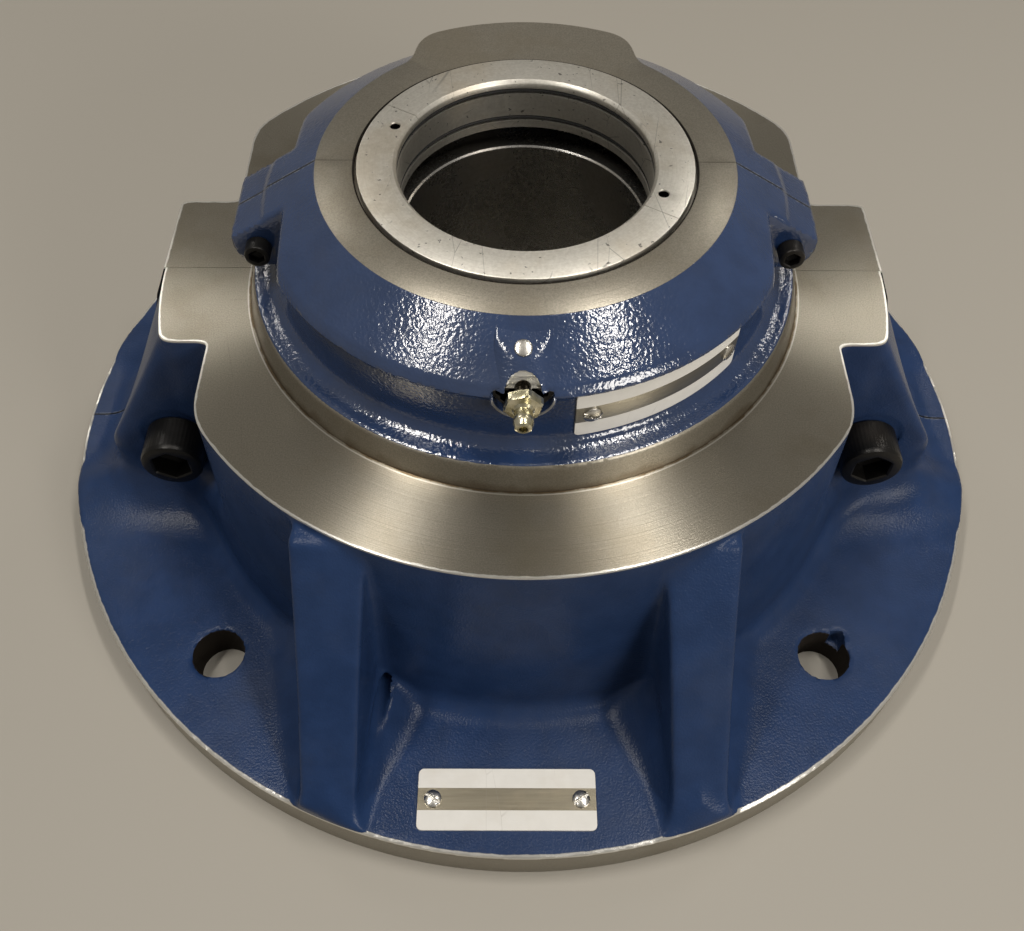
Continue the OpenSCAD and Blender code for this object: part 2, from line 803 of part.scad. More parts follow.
// Curved plate on the neck wall
module cartridge_nameplate() {
    span = plate_len / neck_r * 180 / PI;
    color(plate_white) difference() {
        rotate(plate_deg - span / 2) translate([0, 0, plate_low])
            rotate_extrude(angle = span)
                translate([neck_r, 0]) square([plate_t, plate_h]);
        for (s = [-1, 1]) on_neck(plate_deg + s * plate_screw_deg, plate_low + plate_h / 2)
            translate([0, 0, -cut]) cylinder(r = drive_screw_d / 4 + screw_fit, h = plate_t + 2 * cut);
    }
}

module cartridge_plate_screws() {
    color(bright_steel) for (s = [-1, 1])
        on_neck(plate_deg + s * plate_screw_deg, plate_low + plate_h / 2)
            translate([0, 0, plate_t]) rotate(s * 40 + 20) drive_screw();
}

// Rolling bearing

module outer_race() {
    lip_r = outer_track_r - outer_lip;
    track_half = roller_half + pocket_play;
    at_swivel() difference() {
        cylinder(r = outer_race_r, h = outer_race_w, center = true);
        cylinder(r = lip_r, h = outer_race_w + 2 * cut, center = true);
        cylinder(r = outer_track_r, h = 2 * track_half, center = true);
    }
}

module outer_race_front_half() {
    color(bright_steel) ring_half(-1, 0) outer_race();
}

module outer_race_rear_half() {
    color(bright_steel) ring_half(1, 0) outer_race();
}

// Inner race with a raised track and a seat for a collar at each end
module inner_race() {
    track_w = 2 * (collar_low - 1.5);
    at_swivel() difference() {
        union() {
            cylinder(r = collar_seat_r, h = inner_race_len, center = true);
            cylinder(r = inner_track_r, h = track_w, center = true);
        }
        cylinder(r = shaft_r, h = inner_race_len + 2 * cut, center = true);
    }
}

module inner_race_front_half() {
    color(bright_steel) ring_half(-1, race_split) inner_race();
}

module inner_race_rear_half() {
    color(bright_steel) ring_half(1, race_split) inner_race();
}

// Upper clamping collar about the swivel centre, with counterbored screw holes
module collar() {
    hole_r = collar_screw_d / 2 + screw_fit;
    head_r = collar_screw_d * 0.75 + 0.5;
    seat = collar_seat();
    difference() {
        translate([0, 0, collar_low]) cylinder(r = collar_r, h = collar_w);
        translate([0, 0, collar_low - cut]) cylinder(r = collar_bore_r, h = collar_w + 2 * cut);
        for (s = [-1, 1]) {
            rod_y(s * collar_screw_x(), collar_low + collar_w / 2, hole_r, -collar_r, seat);
            rod_y(s * collar_screw_x(), collar_low + collar_w / 2, head_r, -collar_r, -seat);
        }
    }
}

// Where the collar screws pass, and how deep their heads sit
function collar_screw_x() = (collar_bore_r + collar_r) / 2;
function collar_seat() = collar_wall * 0.8235;

module upper_collar_front_half() {
    color(bright_steel) at_swivel() ring_half(-1, collar_split) collar();
}

module upper_collar_rear_half() {
    color(bright_steel) at_swivel() ring_half(1, collar_split) collar();
}

module lower_collar_front_half() {
    color(bright_steel) at_swivel() mirror([0, 0, 1]) ring_half(-1, collar_split) collar();
}

module lower_collar_rear_half() {
    color(bright_steel) at_swivel() mirror([0, 0, 1]) ring_half(1, collar_split) collar();
}

module collar_screw_pair() {
    for (s = [-1, 1])
        translate([s * collar_screw_x(), -collar_seat(), collar_low + collar_w / 2])
            cap_screw_y(collar_screw_d, 2 * collar_seat() - 2);
}

module upper_collar_screws() {
    color(black_oxide) at_swivel() collar_screw_pair();
}

module lower_collar_screws() {
    color(black_oxide) at_swivel() mirror([0, 0, 1]) collar_screw_pair();
}

// Upper seal ring about the swivel centre, with fins outside and cord grooves inside
module seal_ring() {
    groove_r = seal_bore_r + cord_d;
    hole_r = seal_bore_r + seal_wall * 0.35;
    hole_turn = -10;
    bevel = 1.2;
    difference() {
        union() {
            translate([0, 0, seal_low]) cylinder(r = seal_r, h = seal_len);
            for (f = fin_levels) translate([0, 0, f]) cylinder(r = fin_r, h = fin_t);
        }
        translate([0, 0, seal_low - cut]) cylinder(r = seal_bore_r, h = seal_len + 2 * cut);
        for (c = cord_levels) translate([0, 0, c - cord_d / 2 - 0.1])
            cylinder(r = groove_r, h = cord_d + 0.2);
        translate([0, 0, seal_top - bevel])
            cylinder(r1 = seal_bore_r, r2 = seal_bore_r + bevel + eps, h = bevel + eps);
        for (s = [0, 180]) rotate(seal_split_deg - hole_turn + s)
            translate([hole_r, 0, seal_top - 6]) cylinder(d = seal_hole_d, h = 6 + cut);
    }
}

module upper_seal_front_half() {
    color(aluminium) at_swivel() ring_half(-1, 0, seal_split_deg) seal_ring();
}

module upper_seal_rear_half() {
    color(aluminium) at_swivel() ring_half(1, 0, seal_split_deg) seal_ring();
}

module lower_seal_front_half() {
    color(aluminium) at_swivel() mirror([0, 0, 1]) ring_half(-1, 0, seal_split_deg) seal_ring();
}

module lower_seal_rear_half() {
    color(aluminium) at_swivel() mirror([0, 0, 1]) ring_half(1, 0, seal_split_deg) seal_ring();
}

// Round cords that lie in the seal's bore grooves
module seal_cord_pair() {
    for (c = cord_levels) translate([0, 0, c]) rotate_extrude()
        translate([seal_bore_r + cord_d / 2 - cord_grip, 0]) circle(d = cord_d);
}

module upper_seal_cords() {
    color(black_rubber) at_swivel() seal_cord_pair();
}

module lower_seal_cords() {
    color(black_rubber) at_swivel() mirror([0, 0, 1]) seal_cord_pair();
}

// Cage with one pocket for each roller
module cage() {
    at_swivel() difference() {
        cylinder(r = pitch_r + cage_t / 2, h = 2 * cage_half, center = true);
        cylinder(r = pitch_r - cage_t / 2, h = 2 * cage_half + 2 * cut, center = true);
        for (i = [0 : roller_count - 1])
            rotate(roller_angle(i)) translate([pitch_r, 0, 0])
                cylinder(r = roller_r + pocket_play, h = roller_len + 2 * pocket_play, center = true);
    }
}

function roller_angle(i) = roller_step * (i + 0.5);

module cage_front_half() {
    color(cage_bronze) ring_half(-1, 0) cage();
}

module cage_rear_half() {
    color(cage_bronze) ring_half(1, 0) cage();
}

// One roller with bevelled ends
module roller(i) {
    bevel = 1;
    color(bright_steel) at_swivel() rotate(roller_angle(i)) translate([pitch_r, 0, 0])
        rotate_extrude() polygon([
            [0, -roller_half], [roller_r - bevel, -roller_half], [roller_r, bevel - roller_half],
            [roller_r, roller_half - bevel], [roller_r - bevel, roller_half], [0, roller_half]
        ]);
}

flange_front_half();
flange_rear_half();
flange_joint_screws();
flange_dowels();
flange_nameplate();
flange_plate_screws();
cartridge_front_half();
cartridge_rear_half();
cartridge_joint_screws();
cartridge_dowels();
grease_nipple();
domed_plug();
cartridge_nameplate();
cartridge_plate_screws();
outer_race_front_half();
outer_race_rear_half();
inner_race_front_half();
inner_race_rear_half();
upper_collar_front_half();
upper_collar_rear_half();
lower_collar_front_half();
lower_collar_rear_half();
upper_collar_screws();
lower_collar_screws();
upper_seal_front_half();
upper_seal_rear_half();
lower_seal_front_half();
lower_seal_rear_half();
upper_seal_cords();
lower_seal_cords();
cage_front_half();
cage_rear_half();
roller(0);  // roller_01
roller(1);  // roller_02
roller(2);  // roller_03
roller(3);  // roller_04
roller(4);  // roller_05
roller(5);  // roller_06
roller(6);  // roller_07
roller(7);  // roller_08
roller(8);  // roller_09
roller(9);  // roller_10
roller(10);  // roller_11
roller(11);  // roller_12
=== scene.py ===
# %% [markdown]
# # A split bearing unit on its mounting face
# The unit has a round flange housing and a cartridge that swivels in it, both cast in two
# halves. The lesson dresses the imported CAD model: cast skins with soft corners, machined
# faces that stay bare, small fasteners and plates. All shapes are in millimetres until they
# become a mesh, and every piece lies where the CAD model has it.

# %% Load the frame
import math
import bmesh
import bpy
import numpy as np
from mathutils import Matrix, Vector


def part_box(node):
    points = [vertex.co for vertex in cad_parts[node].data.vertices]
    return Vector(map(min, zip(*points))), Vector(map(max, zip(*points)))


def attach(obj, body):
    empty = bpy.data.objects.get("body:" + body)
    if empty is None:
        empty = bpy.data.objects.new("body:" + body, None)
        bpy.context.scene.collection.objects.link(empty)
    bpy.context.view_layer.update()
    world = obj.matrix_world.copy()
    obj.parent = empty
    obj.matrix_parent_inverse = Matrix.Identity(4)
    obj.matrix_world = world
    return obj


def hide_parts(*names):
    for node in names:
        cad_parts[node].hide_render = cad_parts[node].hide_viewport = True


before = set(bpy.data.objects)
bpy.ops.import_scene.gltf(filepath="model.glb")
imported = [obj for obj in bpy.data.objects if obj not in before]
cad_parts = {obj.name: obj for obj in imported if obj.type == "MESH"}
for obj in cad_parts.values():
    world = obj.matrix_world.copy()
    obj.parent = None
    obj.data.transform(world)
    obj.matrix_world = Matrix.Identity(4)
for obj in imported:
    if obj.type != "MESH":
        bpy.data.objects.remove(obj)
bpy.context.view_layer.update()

# %% [markdown]
# ## Sizes that the pieces share
# The CAD boxes give the outer sizes, so a changed model carries its dress along. The rest
# are heights and radii of the castings, counted in millimetres from the shaft axis and from
# the mounting face.

# %% Shared sizes
MM = 0.001


def box_mm(node):
    """Lowest and highest corner of a CAD node, in millimetres."""
    low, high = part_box(node)
    return np.array(low) / MM, np.array(high) / MM


flange_high = box_mm("flange_front_half")[1]
cart_low, cart_high = box_mm("cartridge_front_half")
flange_r = flange_high[0]
hub_top = flange_high[2]
cart_top = cart_high[2]
swivel_z = (cart_low[2] + cart_high[2]) / 2
cart_half = (cart_high[2] - cart_low[2]) / 2
band_r = cart_high[0]
band_half = 33.3
seal_top = box_mm("upper_seal_front_half")[1][2]
plate_low, plate_high = box_mm("flange_nameplate")
flange_t = plate_low[2]
bolt_hole, bolt_at = 10.0, 167.2 * math.sqrt(0.5)
hub_front_r, hub_rear_r, hub_flat = 135.6, 143.1, 115.0
lug_face, lug_x, lug_draw_in = 37.0, 137.0, 4.7
hub_soft, pocket_soft, lug_soft = 5.0, 4.0, 4.0
nipple_low, nipple_high = box_mm("grease_nipple")
nipple_h = (nipple_low[2] + nipple_high[2]) / 2 - swivel_z
boss_x, boss_half, boss_front, boss_bend = -1.15, 10.6, 94.0, 85.0
boss_start, boss_high, boss_fall, nose_fall = 72.5, 72.6, 0.36, 0.73
nipple_seat, spot_r, spot_narrow, spot_floor, spot_chord = 88.5, 9.4, 5.8, 87.2, 0.8
print("rim radius", flange_r, "hub top", hub_top, "swivel height", swivel_z, "end face", cart_top)

# %% [markdown]
# ## Camera
# The viewer stands in front of the grease nipple and looks down at the bore. The camera is
# turned about the seal's top by elevation, turn and roll, and then aimed a little below it.
# The focal length is counted in pixels of a picture that is 1024 wide.

# %% Camera
picture_w, focal_px = 1024, 1039
elevation, turn, roll, aim_x, aim_y = np.radians([38.11, -1.15, 1.03, 0.73, 16.45])
distance = 373.0344
sensor_mm = 36

back = np.array([np.sin(turn) * np.cos(elevation), -np.cos(turn) * np.cos(elevation), np.sin(elevation)])
right = np.cross(-back, [0, 0, 1])
right /= np.linalg.norm(right)
up = np.cross(right, -back)
level = np.array([
    np.cos(roll) * right + np.sin(roll) * up,
    np.cos(roll) * up - np.sin(roll) * right,
    -back,
])
aim_side = np.array([[np.cos(aim_x), 0, np.sin(aim_x)], [0, 1, 0], [-np.sin(aim_x), 0, np.cos(aim_x)]])
aim_down = np.array([[1, 0, 0], [0, np.cos(aim_y), np.sin(aim_y)], [0, -np.sin(aim_y), np.cos(aim_y)]])
view_right, view_up, view_ahead = aim_down @ aim_side @ level
place = (back * distance + [0, 0, seal_top]) * MM

camera = bpy.data.objects.new("camera", bpy.data.cameras.new("camera"))
bpy.context.collection.objects.link(camera)
camera.data.sensor_fit = "HORIZONTAL"
camera.data.sensor_width = sensor_mm
camera.data.lens = focal_px * sensor_mm / picture_w
camera.data.clip_start = 0.01
pose = np.eye(4)
pose[:3, 0], pose[:3, 1], pose[:3, 2], pose[:3, 3] = view_right, view_up, -view_ahead, place
camera.matrix_world = Matrix(pose.tolist())
bpy.context.scene.camera = camera
print("camera at", place.round(3), "lens", round(camera.data.lens, 2))

# %% [markdown]
# ## Floor and light
# A pale floor and a workshop ceiling are enough. Two long lamps hang over the left and the
# right side and spread a little towards the viewer, so that their mirror images lie as
# bright streaks on the cartridge's cone. Two small lamps behind draw the sheen on the turned
# faces at the sides. A softer lamp at the right front is like a window, and the world fills
# the shadows.

# %% Floor and light
bpy.context.scene.view_settings.view_transform = "Standard"
world = bpy.data.worlds.new("studio")
bpy.context.scene.world = world
world.use_nodes = True
world.node_tree.nodes["Background"].inputs["Color"].default_value = (0.86, 0.82, 0.75, 1)
world.node_tree.nodes["Background"].inputs["Strength"].default_value = 0.29

floor_mesh = bpy.data.meshes.new("floor")
floor_mesh.from_pydata([(-4, -4, 0), (4, -4, 0), (4, 4, 0), (-4, 4, 0)], [], [(0, 1, 2, 3)])
floor = bpy.data.objects.new("floor", floor_mesh)
bpy.context.collection.objects.link(floor)
floor_mat = bpy.data.materials.new("pale_floor")
floor_mat.use_nodes = True
floor_mat.node_tree.nodes["Principled BSDF"].inputs["Base Color"].default_value = (0.30, 0.279, 0.242, 1)
floor_mat.node_tree.nodes["Principled BSDF"].inputs["Roughness"].default_value = 0.6
floor_mesh.materials.append(floor_mat)


def ceiling_lamp(name, at, turn_deg, width, length, watts, tilt_deg=0.0):
    """A rectangular lamp that faces down, tilted up and then turned about the vertical, in metres."""
    data = bpy.data.lights.new(name, "AREA")
    data.shape = "RECTANGLE"
    data.size, data.size_y = width, length
    data.energy = watts
    data.color = (1, 0.96, 0.90)
    lamp = bpy.data.objects.new(name, data)
    bpy.context.collection.objects.link(lamp)
    lamp.matrix_world = (Matrix.Translation(at) @ Matrix.Rotation(math.radians(turn_deg), 4, "Z")
                         @ Matrix.Rotation(math.radians(tilt_deg), 4, "X"))
    return lamp


ceiling_lamp("lamp_left", (-0.53, -0.15, 1.45), -26, 0.09, 0.86, 10)
ceiling_lamp("lamp_right", (0.49, -0.15, 1.45), 26, 0.09, 0.86, 10)
ceiling_lamp("lamp_rear_left", (-1.10, 1.25, 1.45), 40, 0.5, 0.15, 5)
ceiling_lamp("lamp_rear_right", (1.10, 1.25, 1.45), -40, 0.5, 0.15, 5)
ceiling_lamp("lamp_window", (0.95, -1.15, 0.75), 40, 0.6, 0.45, 10.5, 68)

# %% [markdown]
# ## Node helpers and shared effects
# Paint, machined iron and aluminium share a few effects: the ripple of a cast skin, the
# rings that a lathe leaves, and the scratches and stains of handling. Each is a node group
# with named sockets. The groups give heights and masks only, and each material mixes them
# with its own colours.

# %% Node helpers
def add(tree, kind, inputs=None, **settings):
    """Adds a node. Values in inputs are set on its sockets, and sockets are linked to them."""
    n = tree.nodes.new(kind)
    for key, value in settings.items():
        setattr(n, key, value)
    for key, value in (inputs or {}).items():
        if isinstance(value, bpy.types.NodeSocket):
            tree.links.new(value, n.inputs[key])
        else:
            n.inputs[key].default_value = value
    return n


def calc(tree, operation, a, b=0.0):
    """One math node, with its result's socket."""
    return add(tree, "ShaderNodeMath", {0: a, 1: b}, operation=operation).outputs[0]


def plus(tree, a, b):
    """a + b as a socket."""
    return calc(tree, "ADD", a, b)


def minus(tree, a, b):
    """a - b as a socket."""
    return calc(tree, "SUBTRACT", a, b)


def times(tree, a, b):
    """a times b as a socket."""
    return calc(tree, "MULTIPLY", a, b)


def larger(tree, a, b):
    """The larger of a and b as a socket."""
    return calc(tree, "MAXIMUM", a, b)


def length_of(tree, a, b):
    """Length of a flat vector with the parts a and b: the root of a squared plus b squared."""
    return calc(tree, "SQRT", plus(tree, times(tree, a, a), times(tree, b, b)))


def step(tree, value, low, high):
    """A smooth step of a value from 0 at low to 1 at high."""
    n = add(tree, "ShaderNodeMapRange", {"Value": value, "From Min": low, "From Max": high})
    n.interpolation_type = "SMOOTHSTEP"
    return n.outputs["Result"]


def noise(tree, coords, scale, detail=2.0, rough=0.5):
    """Noise about 0.5 on given coordinates, with scale in bumps per metre."""
    inputs = {"Vector": coords, "Scale": scale, "Detail": detail, "Roughness": rough}
    return add(tree, "ShaderNodeTexNoise", inputs).outputs[0]


def mix(tree, mask, a, b):
    """Colour a where the mask is 0 and colour b where it is 1."""
    n = add(tree, "ShaderNodeMix", data_type="RGBA")
    for socket, value in ((n.inputs["Factor"], mask), (n.inputs[6], a), (n.inputs[7], b)):
        if isinstance(value, bpy.types.NodeSocket):
            tree.links.new(value, socket)
        else:
            socket.default_value = value
    return n.outputs[2]


def blend_value(tree, mask, a, b):
    """Number a where the mask is 0 and number b where it is 1."""
    return add(tree, "ShaderNodeMapRange", {"Value": mask, "To Min": a, "To Max": b}).outputs["Result"]


def new_group(name, inputs, outputs):
    """An empty node group with named sockets; returns the tree and its two end nodes."""
    tree = bpy.data.node_groups.new(name, "ShaderNodeTree")
    for label, kind, value in inputs:
        s = tree.interface.new_socket(label, in_out="INPUT", socket_type="NodeSocket" + kind)
        if value is not None:
            s.default_value = value
    for label, kind in outputs:
        tree.interface.new_socket(label, in_out="OUTPUT", socket_type="NodeSocket" + kind)
    return tree, tree.nodes.new("NodeGroupInput"), tree.nodes.new("NodeGroupOutput")


def use(tree, group, inputs):
    """Places a group in a material."""
    n = tree.nodes.new("ShaderNodeGroup")
    n.node_tree = group
    for key, value in inputs.items():
        if isinstance(value, bpy.types.NodeSocket):
            tree.links.new(value, n.inputs[key])
        else:
            n.inputs[key].default_value = value
    return n


def new_material(name, **sockets):
    """A material with one Principled shader, and its Object coordinates."""
    mat = bpy.data.materials.new(name)
    mat.use_nodes = True
    tree = mat.node_tree
    shader = tree.nodes["Principled BSDF"]
    for key, value in sockets.items():
        shader.inputs[key.replace("_", " ")].default_value = value
    coords = tree.nodes.new("ShaderNodeTexCoord").outputs["Object"]
    return mat, tree, shader, coords


def bump(tree, shader, height, distance, strength=1.0):
    """Feeds a height, in units of the distance in metres, to the shader's normal."""
    n = add(tree, "ShaderNodeBump", {"Height": height, "Distance": distance, "Strength": strength})
    tree.links.new(n.outputs[0], shader.inputs["Normal"])


# %% Effect groups
cast_ripple, g_in, g_out = new_group(
    "cast_ripple",
    [("Coords", "Vector", None), ("Peel Scale", "Float", 850.0), ("Sand Scale", "Float", 90.0)],
    [("Height", "Float"), ("Tone", "Float")],
)
peel = noise(cast_ripple, g_in.outputs["Coords"], g_in.outputs["Peel Scale"], 1.5, 0.45)
sand = noise(cast_ripple, g_in.outputs["Coords"], g_in.outputs["Sand Scale"], 3.0, 0.55)
cast_ripple.links.new(
    plus(cast_ripple, peel, times(cast_ripple, sand, 0.7)), g_out.inputs["Height"])
cast_ripple.links.new(step(cast_ripple, sand, 0.3, 0.7), g_out.inputs["Tone"])

lathe_rings, g_in, g_out = new_group(
    "lathe_rings",
    [("Coords", "Vector", None), ("Rings", "Float", 1500.0)],
    [("Height", "Float"), ("Grain", "Float")],
)
split = add(lathe_rings, "ShaderNodeSeparateXYZ", {0: g_in.outputs["Coords"]})
flat = length_of(lathe_rings, split.outputs[0], split.outputs[1])
out_and_up = times(lathe_rings, plus(lathe_rings, flat, split.outputs[2]), g_in.outputs["Rings"])
line = add(lathe_rings, "ShaderNodeCombineXYZ", {0: out_and_up})
rings = noise(lathe_rings, line.outputs[0], 1.0, 3.0, 0.7)
speck = noise(lathe_rings, g_in.outputs["Coords"], 900.0, 2.0, 0.6)
ring_height = plus(lathe_rings, rings, times(lathe_rings, speck, 0.15))
lathe_rings.links.new(ring_height, g_out.inputs["Height"])
lathe_rings.links.new(speck, g_out.inputs["Grain"])

handling_marks, g_in, g_out = new_group(
    "handling_marks",
    [("Coords", "Vector", None), ("Scratch Amount", "Float", 0.5), ("Stain Amount", "Float", 0.5)],
    [("Scratch", "Float"), ("Stain", "Float")],
)
warp = noise(handling_marks, g_in.outputs["Coords"], 14.0, 2.0)
strokes = []
for angle, scale in ((0.5, 110.0), (-0.9, 90.0), (1.3, 140.0)):
    turned = add(handling_marks, "ShaderNodeMapping", {"Vector": g_in.outputs["Coords"]})
    turned.inputs["Rotation"].default_value = (0, 0, angle)
    turned.inputs["Scale"].default_value = (1, 0.2, 0.6)
    cells = add(handling_marks, "ShaderNodeTexVoronoi", {"Vector": turned.outputs[0], "Scale": scale})
    cells.feature = "DISTANCE_TO_EDGE"
    thin = minus(handling_marks, 1.0, step(handling_marks, cells.outputs[0], 0.0, 0.012))
    strokes.append(times(handling_marks, thin, step(handling_marks, noise(
        handling_marks, turned.outputs[0], 70.0, 1.0), 0.60, 0.68)))
most = larger(handling_marks, larger(handling_marks, strokes[0], strokes[1]), strokes[2])
handling_marks.links.new(
    times(handling_marks, most, g_in.outputs["Scratch Amount"]), g_out.inputs["Scratch"])
blots = noise(handling_marks, g_in.outputs["Coords"], 26.0, 5.0, 0.62)
blot_mask = step(handling_marks, plus(handling_marks, blots, times(
    handling_marks, warp, 0.2)), 0.58, 0.80)
handling_marks.links.new(
    times(handling_marks, blot_mask, g_in.outputs["Stain Amount"]), g_out.inputs["Stain"])
print("effect groups:", [g.name for g in (cast_ripple, lathe_rings, handling_marks)])

# %% [markdown]
# ## Painted castings with bare machined faces
# On the real unit the foundry skin is painted blue in a thick glossy coat that keeps the
# ripple of the sand. The faces cut on the lathe stay bare. Both finishes are in one
# material, and a mask worked out from the place on the part tells which one shows, so
# the edge of the paint is exactly where the tool stopped.

# %% Painted casting material
def radius_of(tree, coords):
    """Distance from the shaft axis, and the three coordinates, as sockets."""
    xyz = add(tree, "ShaderNodeSeparateXYZ", {0: coords}).outputs
    return length_of(tree, xyz[0], xyz[1]), xyz


def casting_material(name, bare_mask, edge_highlight_mask, stain_mask, shade_and_dirt_mask, peel, depth, gloss, shine, sheen):
    """Blue paint over a cast skin, with bare iron where bare_mask is 1, worn bare edges painted near white as
    a highlight, and painted shade near black in holes and recesses, with rust in the flange's holes.
    Peel is the ripple's bumps per metre and depth its height, gloss is the paint's roughness,
    shine is the strength of its mirror image, and sheen is how far the turning marks draw out
    a lamp's image along the radius."""
    mat, tree, shader, coords = new_material(name, Specular_IOR_Level=shine)
    rho, xyz = radius_of(tree, coords)
    bare = bare_mask(tree, rho, xyz)
    ripple = use(tree, cast_ripple, {"Coords": coords, "Peel Scale": peel})
    rings = use(tree, lathe_rings, {"Coords": coords})
    marks = use(tree, handling_marks, {"Coords": coords, "Scratch Amount": 0.35, "Stain Amount": 0.55})
    blue = mix(tree, ripple.outputs["Tone"], (0.0115, 0.0270, 0.076, 1), (0.0150, 0.0340, 0.094, 1))
    cloud = step(tree, noise(tree, coords, 11.0, 3.0), 0.35, 0.7)
    blue = mix(tree, times(tree, cloud, 0.35), blue, (0.022, 0.038, 0.085, 1))
    blue = mix(tree, times(tree, marks.outputs["Stain"], 0.30), blue, (0.045, 0.050, 0.065, 1))
    off_seam = calc(tree, "ABSOLUTE", xyz[1])
    chipped = times(tree, step(tree, noise(tree, coords, 700.0, 2.0), 0.45, 0.6),
                   minus(tree, 1.0, step(tree, off_seam, 0.0006, 0.0011)))
    blue = mix(tree, times(tree, chipped, 0.6), blue, (0.17, 0.18, 0.20, 1))
    blue = mix(tree, step(tree, off_seam, 0.0006, 0.0003), blue, (0.006, 0.007, 0.010, 1))
    grit = step(tree, noise(tree, coords, 2000.0, 2.0, 0.7), 0.25, 0.75)
    iron = mix(tree, grit, (0.235, 0.215, 0.175, 1), (0.335, 0.307, 0.252, 1))
    iron = mix(tree, times(tree, marks.outputs["Stain"], 0.7), iron, (0.19, 0.160, 0.110, 1))
    iron = mix(tree, times(tree, marks.outputs["Scratch"], 0.35), iron, (0.09, 0.08, 0.065, 1))
    iron = mix(tree, stain_mask(tree, rho, xyz, coords), iron, (0.115, 0.078, 0.040, 1))
    # Painted highlight: worn bare edges are coloured near white, far brighter than the bare iron, so they
    # shine as if they caught the light.
    worn_edge_highlight = edge_highlight_mask(tree, rho, xyz, coords)
    iron = mix(tree, worn_edge_highlight, iron, (0.86, 0.84, 0.79, 1))
    bare = larger(tree, bare, worn_edge_highlight)
    skin = mix(tree, bare, blue, iron)
    # Painted shade: holes and recesses are coloured near black, as if no light reached them; in the flange's
    # holes this also stands for rust.
    hole_shade_and_dirt = shade_and_dirt_mask(tree, rho, xyz)
    tree.links.new(mix(tree, hole_shade_and_dirt, skin, (0.016, 0.012, 0.009, 1)), shader.inputs["Base Color"])
    paint_rough = blend_value(tree, cloud, gloss, gloss + 0.08)
    iron_rough = blend_value(tree, marks.outputs["Stain"], 0.48 - 0.205 * sheen, 0.54 - 0.205 * sheen)
    rough = plus(tree, times(tree, paint_rough, minus(tree, 1.0, bare)),
                 times(tree, iron_rough, bare))
    tree.links.new(larger(tree, rough, times(tree, hole_shade_and_dirt, 0.75)), shader.inputs["Roughness"])
    tree.links.new(times(tree, bare, 0.92), shader.inputs["Metallic"])
    outward = add(tree, "ShaderNodeCombineXYZ", {0: xyz[0], 1: xyz[1]}).outputs[0]
    radial = add(tree, "ShaderNodeVectorMath", {0: outward}, operation="NORMALIZE").outputs[0]
    tree.links.new(radial, shader.inputs["Tangent"])
    tree.links.new(times(tree, bare, sheen), shader.inputs["Anisotropic"])
    cast_height = times(tree, ripple.outputs["Height"], minus(tree, 1.0, bare))
    iron_height = times(tree, times(tree, rings.outputs["Height"], 0.00007 / depth), bare)
    bump(tree, shader, plus(tree, cast_height, iron_height), depth)
    return mat


def xyz_vector(tree, xyz):
    """The three coordinates as one vector again."""
    return add(tree, "ShaderNodeCombineXYZ", {0: xyz[0], 1: xyz[1], 2: xyz[2]}).outputs[0]


def flange_bare(tree, rho, xyz):
    """Bare on the hub's top face, in the seat, and on the rim below the paint's edge."""
    worn = times(tree, noise(tree, xyz_vector(tree, xyz), 220.0, 3.0), 0.0013)
    top = step(tree, plus(tree, xyz[2], worn), (hub_top - 0.05) * MM, (hub_top + 0.10) * MM)
    seat = minus(tree, 1.0, step(tree, rho, 0.1062, 0.1066))
    rim = step(tree, plus(tree, rho, worn), (flange_r - 0.3) * MM, (flange_r - 0.05) * MM)
    rim = times(tree, rim, step(tree, xyz[2], (flange_t + 0.5) * MM, (flange_t + 0.2) * MM))
    return larger(tree, larger(tree, top, seat), rim)


def flange_edge(tree, rho, xyz, coords):
    """Worn bare line along the outline of the hub's top, round the seat, and along the rim's edge, coloured
    near white as a painted highlight.
    The outline is the hub's circle, less the pockets, joined with the lugs, as in the shape."""
    ax, ay = calc(tree, "ABSOLUTE", xyz[0]), calc(tree, "ABSOLUTE", xyz[1])

    def past(value, limit):
        return minus(tree, value, limit)

    def smooth(operation, a, b, reach):
        return add(tree, "ShaderNodeMath", {0: a, 1: b, 2: 1.5 * reach * MM}, operation=operation).outputs[0]

    radius = blend_value(tree, step(tree, xyz[1], -0.0001, 0.0001), hub_front_r * MM, hub_rear_r * MM)
    forward = calc(tree, "DIVIDE", larger(tree, times(tree, xyz[1], -1.0), 0.0), lug_face * MM)
    drawn_in = times(tree, times(tree, forward, forward), lug_draw_in * MM)
    outer = times(tree, past(plus(tree, ax, drawn_in), lug_x * MM), 0.9)
    pocket = smooth("SMOOTH_MIN", past(ax, hub_flat * MM), past(ay, lug_face * MM), pocket_soft)
    hub = larger(tree, smooth("SMOOTH_MAX", past(rho, radius), pocket, hub_soft), outer)
    lug = smooth("SMOOTH_MAX", outer, past(ay, lug_face * MM), lug_soft)
    off = smooth("SMOOTH_MIN", hub, lug, lug_soft)
    ragged = times(tree, noise(tree, coords, 300.0, 3.0), 0.0008)
    line = step(tree, plus(tree, off, ragged), -0.0004, -0.0001)
    line = times(tree, line, step(tree, xyz[2], (hub_top - 1.2) * MM, (hub_top - 0.6) * MM))
    # Painted highlight along the rim's top edge.
    rim = step(tree, plus(tree, rho, ragged), (flange_r - 1.2) * MM, (flange_r - 0.7) * MM)
    rim = times(tree, rim, step(tree, xyz[2], (flange_t - 1.6) * MM, (flange_t - 0.9) * MM))
    rim = times(tree, rim, step(tree, xyz[2], (flange_t + 0.5) * MM, (flange_t + 0.2) * MM))
    lip = times(tree, step(tree, rho, 0.1043, 0.1045), step(tree, rho, 0.1050, 0.1048))
    lip = times(tree, lip, step(tree, xyz[2], (hub_top - 0.3) * MM, (hub_top - 0.1) * MM))
    line = larger(tree, line, times(tree, lip, 0.5))
    return times(tree, larger(tree, line, rim), 0.85)


